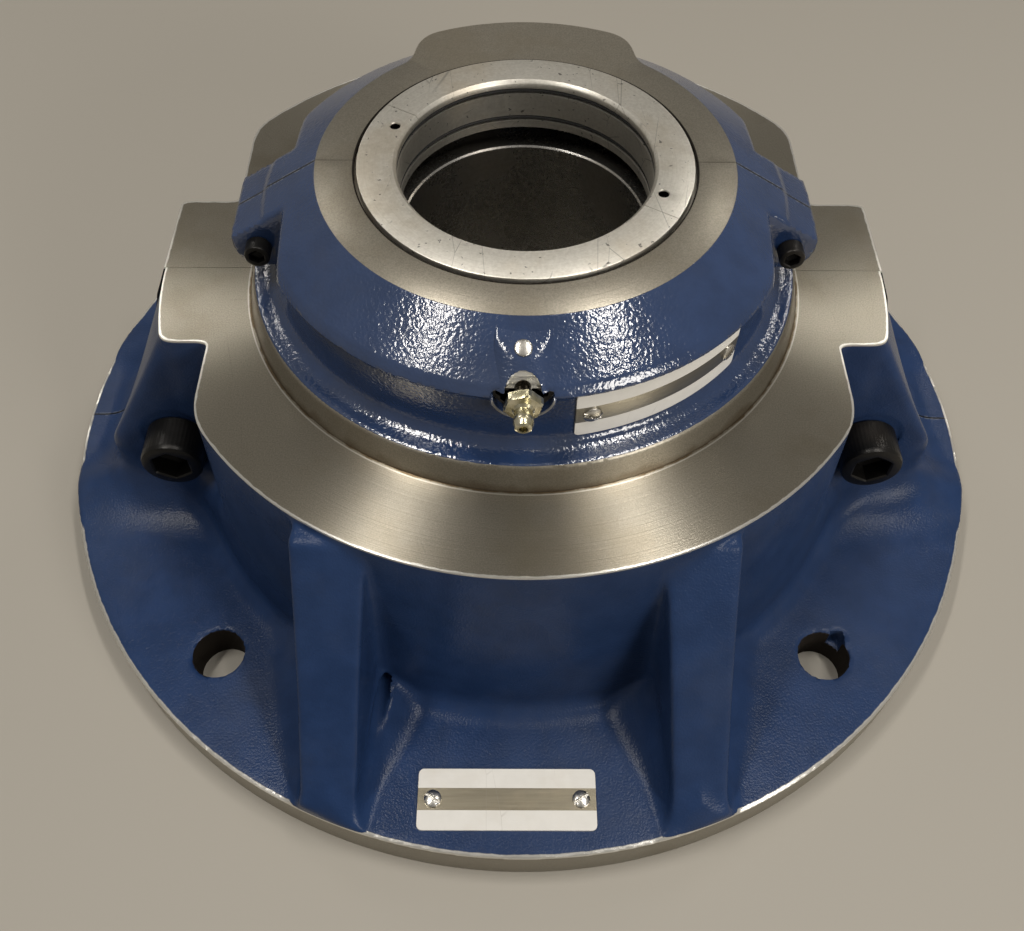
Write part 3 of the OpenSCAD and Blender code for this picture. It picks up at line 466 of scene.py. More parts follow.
def flange_stain(tree, rho, xyz, coords):
    """Dried preservative in a ragged line along the edge of the seat."""
    ragged = times(tree, minus(tree, noise(tree, coords, 160.0, 4.0), 0.5), 0.004)
    near = minus(tree, 1.0, step(tree, plus(tree, rho, ragged), 0.1038, 0.1046))
    return times(tree, near, 0.85)


def flange_hole_shade_and_rust(tree, rho, xyz):
    """Painted shade and rust inside the four mounting holes, below their rims."""
    off = [minus(tree, calc(tree, "ABSOLUTE", xyz[i]), bolt_at * MM) for i in (0, 1)]
    near = step(tree, length_of(tree, off[0], off[1]), (bolt_hole + 0.5) * MM, (bolt_hole + 0.2) * MM)
    return times(tree, near, step(tree, xyz[2], (flange_t - 0.3) * MM, (flange_t - 0.7) * MM))


def cart_bare(tree, rho, xyz):
    """Bare on the end faces and on the spherical band."""
    up_from = minus(tree, xyz[2], swivel_z * MM)
    ends = step(tree, calc(tree, "ABSOLUTE", up_from), (cart_half - 0.25) * MM, (cart_half - 0.10) * MM)
    ball = step(tree, length_of(tree, rho, up_from), (band_r - 0.45) * MM, (band_r - 0.25) * MM)
    ball = times(tree, ball, minus(tree, 1.0, step(
        tree, calc(tree, "ABSOLUTE", up_from), (band_half - 0.1) * MM, (band_half + 0.1) * MM)))
    bore = minus(tree, 1.0, step(tree, rho, 0.0605, 0.0610))
    return larger(tree, larger(tree, ends, ball), bore)


def spot_off(tree, xyz):
    """Distance from the nipple's axis, and the height above it."""
    above = minus(tree, xyz[2], (swivel_z + nipple_h) * MM)
    aside = minus(tree, xyz[0], boss_x * MM)
    return length_of(tree, aside, above), above


def spot_rim(tree, rho, xyz, coords):
    """The bright bare half round that the cutter left above the nipple, and a bright line painted round the
    rim of the wide step as a highlight.
    """
    off, above = spot_off(tree, xyz)
    inside = times(tree, step(tree, off, (spot_narrow + 0.15) * MM, (spot_narrow - 0.05) * MM),
                  step(tree, above, (spot_chord - 0.2) * MM, (spot_chord + 0.2) * MM))
    front = step(tree, xyz[1], -(spot_floor - 0.6) * MM, -(spot_floor - 0.3) * MM)
    # Painted highlight: a bright ring round the rim of the wide step.
    ring = times(tree, step(tree, off, (spot_r - 0.15) * MM, (spot_r + 0.05) * MM),
                step(tree, off, (spot_r + 0.75) * MM, (spot_r + 0.5) * MM))
    ring = times(tree, ring, step(tree, xyz[1], -(boss_front - 0.7) * MM, -(boss_front - 0.3) * MM))
    return larger(tree, times(tree, inside, front), times(tree, ring, 0.5))


def cart_recess_shade(tree, rho, xyz):
    """Painted shade: the rest of the spotface below the chord, and the gap round the seal, both coloured near
    black.
    """
    off, above = spot_off(tree, xyz)
    inside = step(tree, off, (spot_r + 0.05) * MM, (spot_r - 0.2) * MM)
    front = step(tree, xyz[1], -(spot_floor - 1.0) * MM, -(spot_floor - 0.4) * MM)
    low = step(tree, above, (spot_chord + 0.2) * MM, (spot_chord - 0.1) * MM)
    # Painted shade in the spotface below the chord.
    recess_shade = times(tree, times(tree, inside, front), step(tree, xyz[1], -0.0932, -0.0927))
    recess_shade = times(tree, recess_shade, low)
    recess_shade = times(tree, recess_shade, minus(tree, 1.0, spot_rim(tree, rho, xyz, None)))
    return larger(tree, recess_shade, step(tree, rho, 0.0599, 0.0596))


def cart_stain(tree, rho, xyz, coords):
    """Preservative that has run down the band and dried brown above the seat."""
    ragged = times(tree, minus(tree, noise(tree, coords, 90.0, 4.0), 0.5), 0.010)
    low = step(tree, plus(tree, xyz[2], ragged), (hub_top + 3.5) * MM, hub_top * MM)
    return times(tree, low, 0.55)


flange_finish = casting_material(
    "flange_paint_and_iron", flange_bare, flange_edge, flange_stain, flange_hole_shade_and_rust,
    peel=1300.0, depth=0.00012, gloss=0.24, shine=0.13, sheen=0.92)
cart_finish = casting_material(
    "cartridge_paint_and_iron", cart_bare, spot_rim, cart_stain, cart_recess_shade,
    peel=850.0, depth=0.00015, gloss=0.12, shine=1.0, sheen=0.50)
print("casting materials:", flange_finish.name, cart_finish.name)

# %% [markdown]
# ## From a distance field to a skin
# A casting is many simple bodies that flow into each other. A field that is negative inside
# and positive outside describes each body, and a soft minimum of two fields joins them with a
# fillet. A regular grid of cells then finds the skin: each cell that the skin crosses gets
# one point, each grid edge that it crosses gets one quad, and the points slide along the
# field's slope until they lie on the skin. A plain grid of two parameters could not follow
# ribs that stand askew on a round hub.

# %% Skin helpers
def soft_min(a, b, k):
    """min(a, b), with a fillet that starts where the two differ by k: b + (a-b)h - k h (1-h)."""
    h = np.clip(0.5 + 0.5 * (b - a) / k, 0, 1)
    return b + (a - b) * h - k * h * (1 - h)


def soft_max(a, b, k):
    """max(a, b), with a rounded edge of the same kind."""
    return -soft_min(-a, -b, k)


def ramp(v, low, high):
    """0 below low, 1 above high, and a smooth step between them."""
    t = np.clip((v - low) / (high - low), 0, 1)
    return t * t * (3 - 2 * t)


def skin_of(body, low, high, cell):
    """Points and quads of the closed surface where field(x, y, z) = 0 inside a box, in millimetres."""
    low, high = np.array(low, float), np.array(high, float)
    middle, reach = (low + high) / 2, (high - low) / 2

    def solid(x, y, z):
        sides = np.maximum(np.abs(x - middle[0]) - reach[0], np.abs(y - middle[1]) - reach[1])
        return np.maximum(body(x, y, z), np.maximum(sides, np.abs(z - middle[2]) - reach[2]))

    low = low - 1.6 * cell
    axes = [np.arange(a, b + 3 * cell, cell, dtype=np.float32) for a, b in zip(low, high)]
    f = solid(*np.meshgrid(*axes, indexing="ij", sparse=True))
    inside = f < 0
    corners = np.array([(i, j, k) for i in (0, 1) for j in (0, 1) for k in (0, 1)])
    ends = np.array(f.shape) - 1
    windows = [tuple(slice(c, e + c) for c, e in zip(corner, ends)) for corner in corners]
    count = sum(inside[window].astype(np.int8) for window in windows)
    crossed = (count > 0) & (count < 8)
    cells = np.argwhere(crossed)
    number = np.full(crossed.shape, -1, dtype=np.int32)
    number[crossed] = np.arange(len(cells))
    total = np.zeros((len(cells), 3))
    hits = np.zeros(len(cells))
    for axis in range(3):
        for a in corners[corners[:, axis] == 0]:
            b = a + np.eye(3, dtype=int)[axis]
            f_a, f_b = f[tuple((cells + a).T)], f[tuple((cells + b).T)]
            cross = (f_a < 0) != (f_b < 0)
            share = np.where(cross, f_a / np.where(cross, f_a - f_b, 1), 0)
            total += (cells + a + share[:, None] * np.eye(3)[axis]) * cross[:, None]
            hits += cross
    points = low + cell * total / hits[:, None]
    tap = 0.05
    for _ in range(4):
        taps = [solid(*(points + d).T) - solid(*(points - d).T) for d in tap * np.eye(3)]
        slope = np.stack(taps, axis=1) / (2 * tap)
        pull = solid(*points.T)[:, None] * slope / np.maximum((slope ** 2).sum(1), 0.2)[:, None]
        points -= np.clip(pull, -cell / 2, cell / 2)
    quads = []
    for axis in range(3):
        u, v = np.eye(3, dtype=int)[(axis + 1) % 3], np.eye(3, dtype=int)[(axis + 2) % 3]
        first = np.take(inside, np.arange(ends[axis]), axis)
        edges = np.argwhere(first != np.take(inside, np.arange(1, ends[axis] + 1), axis))
        edges = edges[((edges - u - v >= 0) & (edges < ends)).all(1)]
        ring = np.stack([number[tuple(e.T)] for e in (edges - u - v, edges - v, edges, edges - u)], axis=1)
        outward = first[tuple(edges.T)]
        quads.append(np.where(outward[:, None], ring, ring[:, ::-1]))
    return points, np.concatenate(quads)


def put(name, points, faces, material, body, nodes=(), slot=None, angle=50, cuts=()):
    """Makes a mesh piece from millimetre points, cuts it by planes and lets it ride on a body.
    Each cut is a point and a normal: what lies beyond is removed, and the cut is closed."""
    mesh = bpy.data.meshes.new(name)
    faces = faces.tolist() if hasattr(faces, "tolist") else faces
    mesh.from_pydata(np.asarray(points).tolist(), [], faces)
    bm = bmesh.new()
    bm.from_mesh(mesh)
    bmesh.ops.remove_doubles(bm, verts=bm.verts, dist=1e-4)
    for co, no in cuts:
        geom = bm.verts[:] + bm.edges[:] + bm.faces[:]
        bmesh.ops.bisect_plane(bm, geom=geom, dist=1e-3, plane_co=co, plane_no=no, clear_outer=True)
        rim = [e for e in bm.edges if e.is_boundary]
        bmesh.ops.triangle_fill(bm, use_beauty=True, use_dissolve=False, edges=rim, normal=no)
        left = sum(e.is_boundary for e in bm.edges)
        print(name, "cut rim", len(rim), "left open", left)
    bmesh.ops.recalc_face_normals(bm, faces=bm.faces)
    bmesh.ops.scale(bm, vec=(MM, MM, MM), verts=bm.verts)
    bm.to_mesh(mesh)
    bm.free()
    mesh.polygons.foreach_set("use_smooth", np.ones(len(mesh.polygons), dtype=bool))
    mesh.set_sharp_from_angle(angle=math.radians(angle))
    mesh.materials.append(material)
    piece = bpy.data.objects.new(name, mesh)
    bpy.context.collection.objects.link(piece)
    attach(piece, body)
    if nodes:
        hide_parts(*nodes)
    mesh.calc_loop_triangles()
    print(name, "triangles", len(mesh.loop_triangles))
    return piece


# %% [markdown]
# ## Flange housing
# Each half is a hub on a round plate, with a lug at each joint and two ribs. The lugs flare
# widely where they meet the plate in front, and hardly at their outer sides, so the fillet
# there changes from place to place. Screw heads stand in pockets beside the hub. The front
# hub is a little smaller than the rear one, and its ribs stand a little to the left.

# %% Flange halves
hub_draft, lug_draft = 5.0, 0.075
screw_low, screw_high = box_mm("flange_joint_screws")
screw_x = screw_high[0] - 12
screw_z = (screw_low[2] + screw_high[2]) / 2
screw_seat = screw_low[1] + 16
seat_r = band_r + 0.08
cavity_r, cavity_top, screw_pocket_r = 109.7, 57.0, 14.0
drain_x, drain_z, drain_r = -52.5, 26.0, 3.2
nick_x, nick_y, nick_r, nick_floor = 125.1, -110.1, 3.0, 9.5
rib_drop = 3.0
rib_half, rib_top_x, rib_splay, rib_reach = 10.0, 60.5, math.radians(5), flange_r - 11.5
web_foot, web_lean = 22.0, 1.5


def flange_field(side):
    """Distance field of the housing on one side: plate, hub, lugs and ribs, less seat and holes."""
    hub_r = hub_front_r if side < 0 else hub_rear_r
    shift = -3.0 if side < 0 else 0.0

    def field(x, y, z):
        rho, ax, ay = np.hypot(x, y), np.abs(x), np.abs(y)
        low = np.clip((hub_top - z) / (hub_top - flange_t), 0, 1.2)
        wall = rho - hub_r - hub_draft * low
        face = ay - lug_face - (hub_top - z) * lug_draft
        forward = (np.clip(-y, 0, 40) / lug_face) ** 2
        outer = (ax - lug_x + lug_draw_in * forward - (hub_top - z) * (0.46 + 0.14 * forward)) * 0.90
        pocket = soft_min(ax - hub_flat - np.clip(screw_z - z, 0, None) * 0.68, face, pocket_soft)
        hub = np.maximum(soft_max(wall, pocket, hub_soft), outer)
        lug = soft_max(outer, face, lug_soft + 34 * ramp(-z, -58, -22))
        body = soft_min(z - flange_t, hub, 9)
        flare = ramp(ay, 20, 44)
        body = soft_min(body, lug, lug_soft + ramp(-z, -62, -38) * (6 + 15 * flare))
        start = math.sqrt(hub_r ** 2 - rib_top_x ** 2)
        reach = rib_reach - start
        rise = hub_top - rib_drop - flange_t
        fall = math.hypot(reach - 1, rise)
        for s in (-1, 1):
            away = y * side - start
            t = s * rib_splay
            across = (x - s * rib_top_x - shift) * math.cos(t) - away * math.sin(t)
            along = (x - s * rib_top_x - shift) * math.sin(t) + away * math.cos(t)
            slope = ((along - 1) * rise + (z - hub_top + rib_drop) * (reach - 1)) / fall
            half = rib_half + 3.0 * (1 - low) ** 2
            rib = soft_max(soft_max(np.abs(across) - half, slope, 2.2), z - hub_top + rib_drop, 2)
            web_w = web_foot * (1 - np.clip(along / reach, 0, 1))
            web = (np.abs(across) - half - web_w + (z - flange_t) * web_lean) / math.hypot(1, web_lean)
            body = soft_min(body, np.maximum(web, slope), 3)
            body = soft_min(body, rib, 2 + 5 * np.clip((hub_top - 8 - z) / 18, 0, 1))
        if side < 0:
            head = np.maximum(np.hypot(ax - screw_x, z - screw_z) - screw_pocket_r, y - screw_seat)
            body = soft_max(body, -head, 1)
            drain = np.hypot(x - drain_x, z - drain_z) - drain_r
            body = np.where(y < -115, soft_max(body, -drain, 1.2), body)
            nick = np.maximum(np.hypot(x - nick_x, y - nick_y) - nick_r, nick_floor - z)
            body = np.maximum(body, -nick)
        hole = np.hypot(ax - bolt_at, ay - bolt_at) - bolt_hole
        body = soft_max(body, -hole, 0.5)
        seat = np.sqrt(rho ** 2 + (z - swivel_z) ** 2) - seat_r
        under = np.maximum(rho - cavity_r, z - cavity_top)
        body = np.maximum(body, -np.minimum(seat, under))
        return soft_max(body, rho - flange_r, 1.4)

    return field


for side, name in ((-1, "flange_front_half"), (1, "flange_rear_half")):
    edge = flange_r + 3
    low = (-edge, -edge, -2.2) if side < 0 else (-edge, -2.6, -2.2)
    high = (edge, 2.6, hub_top + 2.4) if side < 0 else (edge, edge, hub_top + 2.4)
    points, quads = skin_of(flange_field(side), low, high, 1.3)
    cuts = (((0, 0, hub_top), (0, 0, 1)), ((0, 0, 0), (0, 0, -1)), ((0, side * 0.08, 0), (0, -side, 0)))
    put(name + "_skin", points, quads, flange_finish, "flange", [name], "blue_paint", cuts=cuts)

# %% [markdown]
# ## Cartridge
# The cartridge is turned about the shaft axis: a flat end, a conical shoulder, a short
# neck and a ball-shaped band that swivels in the housing. Lugs with round ends carry the
# small joint screws. In front a boss holds the grease nipple, and behind a second boss lies
# flush with the end face. Its lower end, inside the housing, mirrors the upper one.

# %% Cartridge halves
end_r, shoulder_r, neck_r, shoulder_fall = 71.0, 95.0, 91.0, 0.62
cart_screw_low, cart_screw_high = box_mm("cartridge_joint_screws")
lug_screw_x = cart_screw_high[0] - 4.5
lug_screw_h = (cart_screw_high[2] - cart_screw_low[2]) / 2 - 4.5
cart_lug_half, cart_lug_r, cart_flat, cart_lug_root = 16.3, 9.4, 83.3, 76.0
lip_low, rear_pad_half, rear_pad_r, rear_pad_deep = 57.0, 41.5, 84.5, 30.0
outer_race_r, outer_race_half, chamber_r, chamber_half = 87.3, 29.05, 72.0, 49.0
end_bore_r, fin_groove_r, fin_groove_half, fin_grooves = 59.2, 62.9, 2.1, (59.2, 67.2)


def spot_field(from_axis, out, h):
    """Distance field of the spotface: a narrow cut with a sloped floor, and a wide one below the chord."""
    floor_out = spot_floor + (nipple_h + spot_narrow - h) * 0.7
    narrow = np.maximum(from_axis - spot_narrow, (floor_out - out) * 0.8)
    wide = np.maximum(np.maximum(from_axis - spot_r, spot_floor + 3 - out), h - nipple_h - spot_chord)
    return np.minimum(narrow, wide)


def cart_field(side):
    """Distance field of the cartridge on one side, about the swivel centre."""

    def field(x, y, z):
        h = z - swivel_z
        rho, ax, ay, a = np.hypot(x, y), np.abs(x), np.abs(y), np.abs(h)
        cone = (a - cart_half + (rho - end_r) * shoulder_fall) * 0.85
        lip = soft_max(soft_max(cone, rho - shoulder_r, 1.5), lip_low + (rho - neck_r) * 0.3 - a, 3.0)
        neck = np.maximum(rho - neck_r, cone)
        upper = soft_min(lip, neck, 3)
        recess = soft_min(soft_min(ax - cart_flat, ay - cart_lug_half, 1.5), a - band_half - 3, 4)
        upper = soft_max(upper, recess, 1.5)
        round_end = np.hypot(ax - lug_screw_x, a - lug_screw_h) - cart_lug_r
        root = cart_lug_root - ax
        block = np.maximum(np.maximum(lug_screw_h - cart_lug_r - a, ax - lug_screw_x), root)
        crown = np.maximum(np.maximum(lug_screw_h - a, ax - lug_screw_x - cart_lug_r), root)
        lug = np.minimum(np.minimum(round_end, block), crown)
        lug = np.maximum(soft_max(lug, ay - cart_lug_half, 1.2), cone)
        upper = soft_min(upper, lug, 0.05 + 1.45 * ramp(-cone, 0.5, 3))
        if side < 0:
            upper = np.maximum(upper, -spot_field(np.hypot(x - boss_x, h - nipple_h), -y, h))
        else:
            pad = soft_max(ax - rear_pad_half, rho - rear_pad_r, 9)
            pad = np.maximum(soft_max(pad, cart_half - rear_pad_deep - h, 3), 40 - y)
            upper = np.where(h > 30, soft_min(upper, pad, 4), upper)
        ball = soft_max(np.sqrt(rho ** 2 + h ** 2) - band_r, a - band_half, 0.8)
        body = soft_min(upper, ball, 7)
        body = np.maximum(body, np.sqrt(rho ** 2 + h ** 2) - np.where(a < band_half - 2, band_r, 200))
        race = np.maximum(rho - outer_race_r, a - outer_race_half)
        chamber = np.maximum(rho - chamber_r, a - chamber_half)
        bore = np.minimum(np.minimum(race, chamber), rho - end_bore_r)
        for fin in fin_grooves:
            off_fin = np.abs(a - fin - fin_groove_half) - fin_groove_half
            bore = np.minimum(bore, np.maximum(rho - fin_groove_r, off_fin))
        return np.maximum(body, -bore)

    return field


def boss_field(x, y, z):
    """Distance field of the grease boss: a pad with a gently sloped top, and a crowned nose that
    falls faster in front of boss_bend, less the two steps of the spotface."""
    h, bx, out = z - swivel_z, np.abs(x - boss_x), -y
    from_axis = np.hypot(bx, h - nipple_h)
    pad = np.where(h > nipple_h, bx, from_axis) - boss_half + 2.0 * ramp(h, nipple_h + 2, cart_half)
    slope = (h - boss_high + (out - boss_start) * boss_fall) * 0.94
    bend_h = boss_high - (boss_bend - boss_start) * boss_fall
    nose = (h - bend_h + (out - boss_bend) * nose_fall + 0.035 * bx ** 2) * 0.8
    boss = soft_max(soft_max(slope, nose, 0.6), out - boss_front, 1.2)
    boss = soft_max(soft_max(boss, pad, 0.9), h - cart_half + 1.2, 1.2)
    return soft_max(boss, -spot_field(from_axis, out, h), 0.3)


for side, name in ((-1, "cartridge_front_half"), (1, "cartridge_rear_half")):
    edge = band_r + 2
    low = (-edge, -edge, cart_low[2] - 2.1) if side < 0 else (-edge, -2.2, cart_low[2] - 2.1)
    high = (edge, 2.2, cart_top + 2.1) if side < 0 else (edge, edge, cart_top + 2.1)
    points, quads = skin_of(cart_field(side), low, high, 1.35)
    if side < 0:
        reach = boss_half + 2
        fine, fine_quads = skin_of(boss_field, (boss_x - reach, -boss_front - 2, swivel_z + nipple_h - reach),
                                   (boss_x + reach, -boss_start, cart_top - 0.4), 0.5)
        quads = np.concatenate([quads, fine_quads + len(points)])
        points = np.concatenate([points, fine])
    ends = (((0, 0, cart_top), (0, 0, 1)), ((0, 0, cart_low[2]), (0, 0, -1)))
    cuts = ends + (((0, side * 0.10, 0), (0, -side, 0)),)
    put(name + "_skin", points, quads, cart_finish, "cartridge", [name], "blue_paint", cuts=cuts)

# %% [markdown]
# ## Turned pieces
# Screws, the nipple, cords and rings are all made on a lathe, so one function makes them: a
# row of radii and heights is carried round the axis. A row can be a hexagon instead of a
# circle, and a row can carry the fine teeth of a knurl, because the radius may depend on the
# angle.

# %% Lathe helpers
def grid_quads(rows, columns, wrap_rows=False, wrap_columns=False):
    """Quads between the rows and columns of a grid of points, numbered row by row."""
    r = np.arange(rows if wrap_rows else rows - 1)[:, None]
    c = np.arange(columns if wrap_columns else columns - 1)[None, :]
    r2, c2 = (r + 1) % rows, (c + 1) % columns
    corners = [r * columns + c, r * columns + c2, r2 * columns + c2, r2 * columns + c]
    return np.stack(corners, axis=-1).reshape(-1, 4)


def turned(rows, steps=96):
    """Closed lathe shape about +Z. A row is (radius, height, hex, knurl): hex 1 makes the radius
    run round a hexagon with that half width across flats, and knurl is the depth of the teeth."""
    rows = np.array([tuple(r) + (0,) * (4 - len(r)) for r in rows], float)
    angle = np.linspace(0, 2 * np.pi, steps, endpoint=False)
    hexagon = 1 / np.cos((angle + np.pi / 6) % (np.pi / 3) - np.pi / 6)
    teeth = 0.5 + 0.5 * np.cos(48 * angle)
    radius = rows[:, 0:1] * (1 + rows[:, 2:3] * (hexagon - 1)) - rows[:, 3:4] * teeth
    height = np.repeat(rows[:, 1:2], steps, 1)
    points = np.stack([radius * np.cos(angle), radius * np.sin(angle), height], axis=-1)
    quads = grid_quads(len(rows), steps, wrap_columns=True)
    first, last = np.arange(steps)[::-1], (len(rows) - 1) * steps + np.arange(steps)
    return points.reshape(-1, 3), quads.tolist() + [first.tolist(), last.tolist()]


def ring_half(profile, from_deg, to_deg, steps=160):
    """Half of a ring: a closed outline of (radius, height) carried round the axis, with flat ends."""
    profile = np.array(profile, float)
    angle = np.radians(np.linspace(from_deg, to_deg, steps))[:, None]
    radius, height = profile[:, 0], np.repeat(profile[None, :, 1], steps, 0)
    points = np.stack([radius * np.cos(angle), radius * np.sin(angle), height], axis=-1)
    quads = grid_quads(steps, len(profile), wrap_columns=True)
    first, last = np.arange(len(profile))[::-1], (steps - 1) * len(profile) + np.arange(len(profile))
    return points.reshape(-1, 3), quads.tolist() + [first.tolist(), last.tolist()]


def moved(points, at, axes=None):
    """Points turned so that their X, Y and Z follow three axes, then moved to a place."""
    axes = np.eye(3) if axes is None else np.array(axes, float)
    return points @ axes + np.array(at, float)


def together(shapes):
    """Several shapes as one, with their corner numbers shifted."""
    points, faces, shift = [], [], 0
    for p, f in shapes:
        points.append(p)
        faces += [[i + shift for i in face] for face in f]
        shift += len(p)
    return np.concatenate(points), faces


# %% [markdown]
# ## Seal rings, inner race and cords
# The aluminium seal rings turn with the shaft. Their faces show faint lathe rings, fine
# scratches and brown traces of preservative, and each is split across with two small holes
# beside the split. The bore has two grooves for the cords, which show as dark lines.

# %% Ring materials
def turned_metal(name, dark, light, rough, stain, scratch, depth=0.00003, shade_and_dirt_mask=None):
    """Bare metal with lathe rings, scratches and stains of the given strength, with painted shade in drilled
    holes.
    """
    mat, tree, shader, coords = new_material(name, Metallic=1.0)
    lathe = use(tree, lathe_rings, {"Coords": coords})
    marks = use(tree, handling_marks, {"Coords": coords, "Scratch Amount": scratch, "Stain Amount": stain})
    grain = plus(tree, times(tree, lathe.outputs["Grain"], 0.4), times(
        tree, lathe.outputs["Height"], 0.5))
    tone = mix(tree, step(tree, grain, 0.25, 0.75), dark, light)
    tone = mix(tree, marks.outputs["Stain"], tone, (0.30, 0.225, 0.125, 1))
    tone = mix(tree, marks.outputs["Scratch"], tone, tuple(0.35 * c for c in dark[:3]) + (1,))
    xyz = add(tree, "ShaderNodeSeparateXYZ", {0: coords}).outputs
    if shade_and_dirt_mask:
        tone = mix(tree, shade_and_dirt_mask(tree, xyz, coords), tone, (0.012, 0.010, 0.008, 1))
    tree.links.new(tone, shader.inputs["Base Color"])
    worn = plus(tree, marks.outputs["Stain"], times(tree, lathe.outputs["Grain"], 0.3))
    tree.links.new(blend_value(tree, worn, rough, rough + 0.2), shader.inputs["Roughness"])
    outward = add(tree, "ShaderNodeCombineXYZ", {0: xyz[0], 1: xyz[1]}).outputs[0]
    radial = add(tree, "ShaderNodeVectorMath", {0: outward}, operation="NORMALIZE").outputs[0]
    tree.links.new(radial, shader.inputs["Tangent"])
    shader.inputs["Anisotropic"].default_value = 0.3
    bump(tree, shader, lathe.outputs["Height"], depth)
    return mat


seal_split = -31.0
seal_bore, seal_out, fin_out, seal_len = 44.6, 58.3, 62.3, 20.0
cord_in, cord_deep, cord_half = 4.2, 3.6, 1.1
hole_r, hole_turn = seal_bore + 0.35 * (seal_out - seal_bore), math.radians(seal_split + 10)


def seal_hole_shade_and_pits(tree, xyz, coords):
    """Painted shade in the two small holes below the face, and dark scattered pits of the face."""
    across = [times(tree, xyz[0], math.cos(hole_turn)), times(tree, xyz[1], math.sin(hole_turn))]
    along = minus(tree, calc(tree, "ABSOLUTE", plus(tree, across[0], across[1])), hole_r * MM)
    aside = minus(tree, times(tree, xyz[1], math.cos(hole_turn)),
                 times(tree, xyz[0], math.sin(hole_turn)))
    # Painted shade: the holes below the face are coloured near black.
    hole = times(tree, step(tree, length_of(tree, along, aside), 0.0022, 0.0020),
                step(tree, xyz[2], (seal_top - 0.3) * MM, (seal_top - 0.6) * MM))
    pits = step(tree, noise(tree, coords, 480.0, 2.0, 0.6), 0.67, 0.72)
    return larger(tree, hole, times(tree, pits, 0.7))


seal_finish = turned_metal(
    "seal_aluminium", (0.66, 0.63, 0.56, 1), (0.86, 0.83, 0.76, 1), 0.36, 0.40, 0.7, 0.00005, seal_hole_shade_and_pits)
steel_finish = turned_metal("ground_steel", (0.36, 0.35, 0.33, 1), (0.52, 0.51, 0.49, 1), 0.24, 0.2, 0.3)
brass_finish = turned_metal("cage_brass", (0.42, 0.27, 0.10, 1), (0.58, 0.40, 0.16, 1), 0.32, 0.3, 0.2)

cord_finish, tree, shader, coords = new_material("cord_rubber", Specular_IOR_Level=0.3)
rubber = mix(tree, noise(tree, coords, 300.0), (0.008, 0.008, 0.008, 1), (0.02, 0.02, 0.02, 1))
tree.links.new(rubber, shader.inputs["Base Color"])
tree.links.new(blend_value(tree, noise(tree, coords, 500.0), 0.5, 0.75), shader.inputs["Roughness"])
bump(tree, shader, noise(tree, coords, 900.0), 0.00005)
print("ring materials ready")

# %% Seal rings
def seal_profile():
    """Outline of the upper seal, from its bore round over the top and down past the fins."""
    low = seal_top - seal_len
    outline = [(seal_bore, low)]
    groove_r = seal_bore + cord_deep
    for c in (low + cord_in, seal_top - cord_in):
        below, above = c - cord_half, c + cord_half
        outline += [(seal_bore, below), (groove_r, below), (groove_r, above), (seal_bore, above)]
    outline += [(seal_bore, seal_top - 1.3), (seal_bore + 0.25, seal_top - 0.9), (seal_bore + 1.2, seal_top)]
    outline += [(seal_out - 0.5, seal_top), (seal_out - 0.12, seal_top - 0.14), (seal_out, seal_top - 0.5)]
    for f in (low + 13.0, low + 5.0):
        outline += [(seal_out, f + 3), (fin_out, f + 3), (fin_out, f), (seal_out, f)]
    return outline + [(seal_out, low)]


def bored(piece, cutter_shapes):
    """Cuts shapes out of a piece by a Boolean that is applied at once."""
    points, faces = together(cutter_shapes)
    tool_mesh = bpy.data.meshes.new("tool")
    tool_mesh.from_pydata((points * MM).tolist(), [], faces)
    tool = bpy.data.objects.new("tool", tool_mesh)
    bpy.context.collection.objects.link(tool)
    change = piece.modifiers.new("bored", "BOOLEAN")
    change.object = tool
    change.solver = "EXACT"
    bpy.context.view_layer.update()
    result = bpy.data.meshes.new_from_object(piece.evaluated_get(bpy.context.evaluated_depsgraph_get()))
    piece.modifiers.clear()
    piece.data = result
    bpy.data.objects.remove(tool)
    result.set_sharp_from_angle(angle=math.radians(35))
    return piece


for start, part in ((180, "front"), (0, "rear")):
    from_deg, to_deg = seal_split + start + 0.1, seal_split + start + 179.9
    points, faces = ring_half(seal_profile(), from_deg, to_deg, 240)
    seal = put(f"upper_seal_{part}", points, faces, seal_finish, "inner_ring",
               [f"upper_seal_{part}_half"], "seal_aluminium", 35)
    at = hole_turn + math.radians(start)
    drill = turned([(1.8, -13), (1.8, 0), (2.1, 0.5)], 32)
    spot = (hole_r * math.cos(at), hole_r * math.sin(at), seal_top - 0.35)
    bored(seal, [(moved(drill[0], spot), drill[1])])
    flipped = points * [1, 1, -1] + [0, 0, 2 * swivel_z]
    put(f"lower_seal_{part}", flipped, faces, seal_finish, "inner_ring",
        [f"lower_seal_{part}_half"], "seal_aluminium", 35)

# %% Inner race and cords
race_low, race_high = box_mm("inner_race_front_half")
bore_r, track_r, collar_seat, track_half = 44.45, 54.45, 50.95, 27.5
race_half = (race_high[2] - race_low[2]) / 2
race_upper = np.array([
    (bore_r, race_half - 0.6), (bore_r + 0.6, race_half), (collar_seat - 0.5, race_half),
    (collar_seat, race_half - 0.5), (collar_seat, track_half), (track_r, track_half)])
race_outline = np.concatenate([race_upper, race_upper[::-1] * [1, -1]])
for start, part in ((180, "front"), (0, "rear")):
    points, faces = ring_half(race_outline + [0, swivel_z], start + 0.25, start + 179.75, 200)
    put(f"inner_race_{part}", points, faces, steel_finish, "inner_ring",
        [f"inner_race_{part}_half"], "bright_steel", 35)

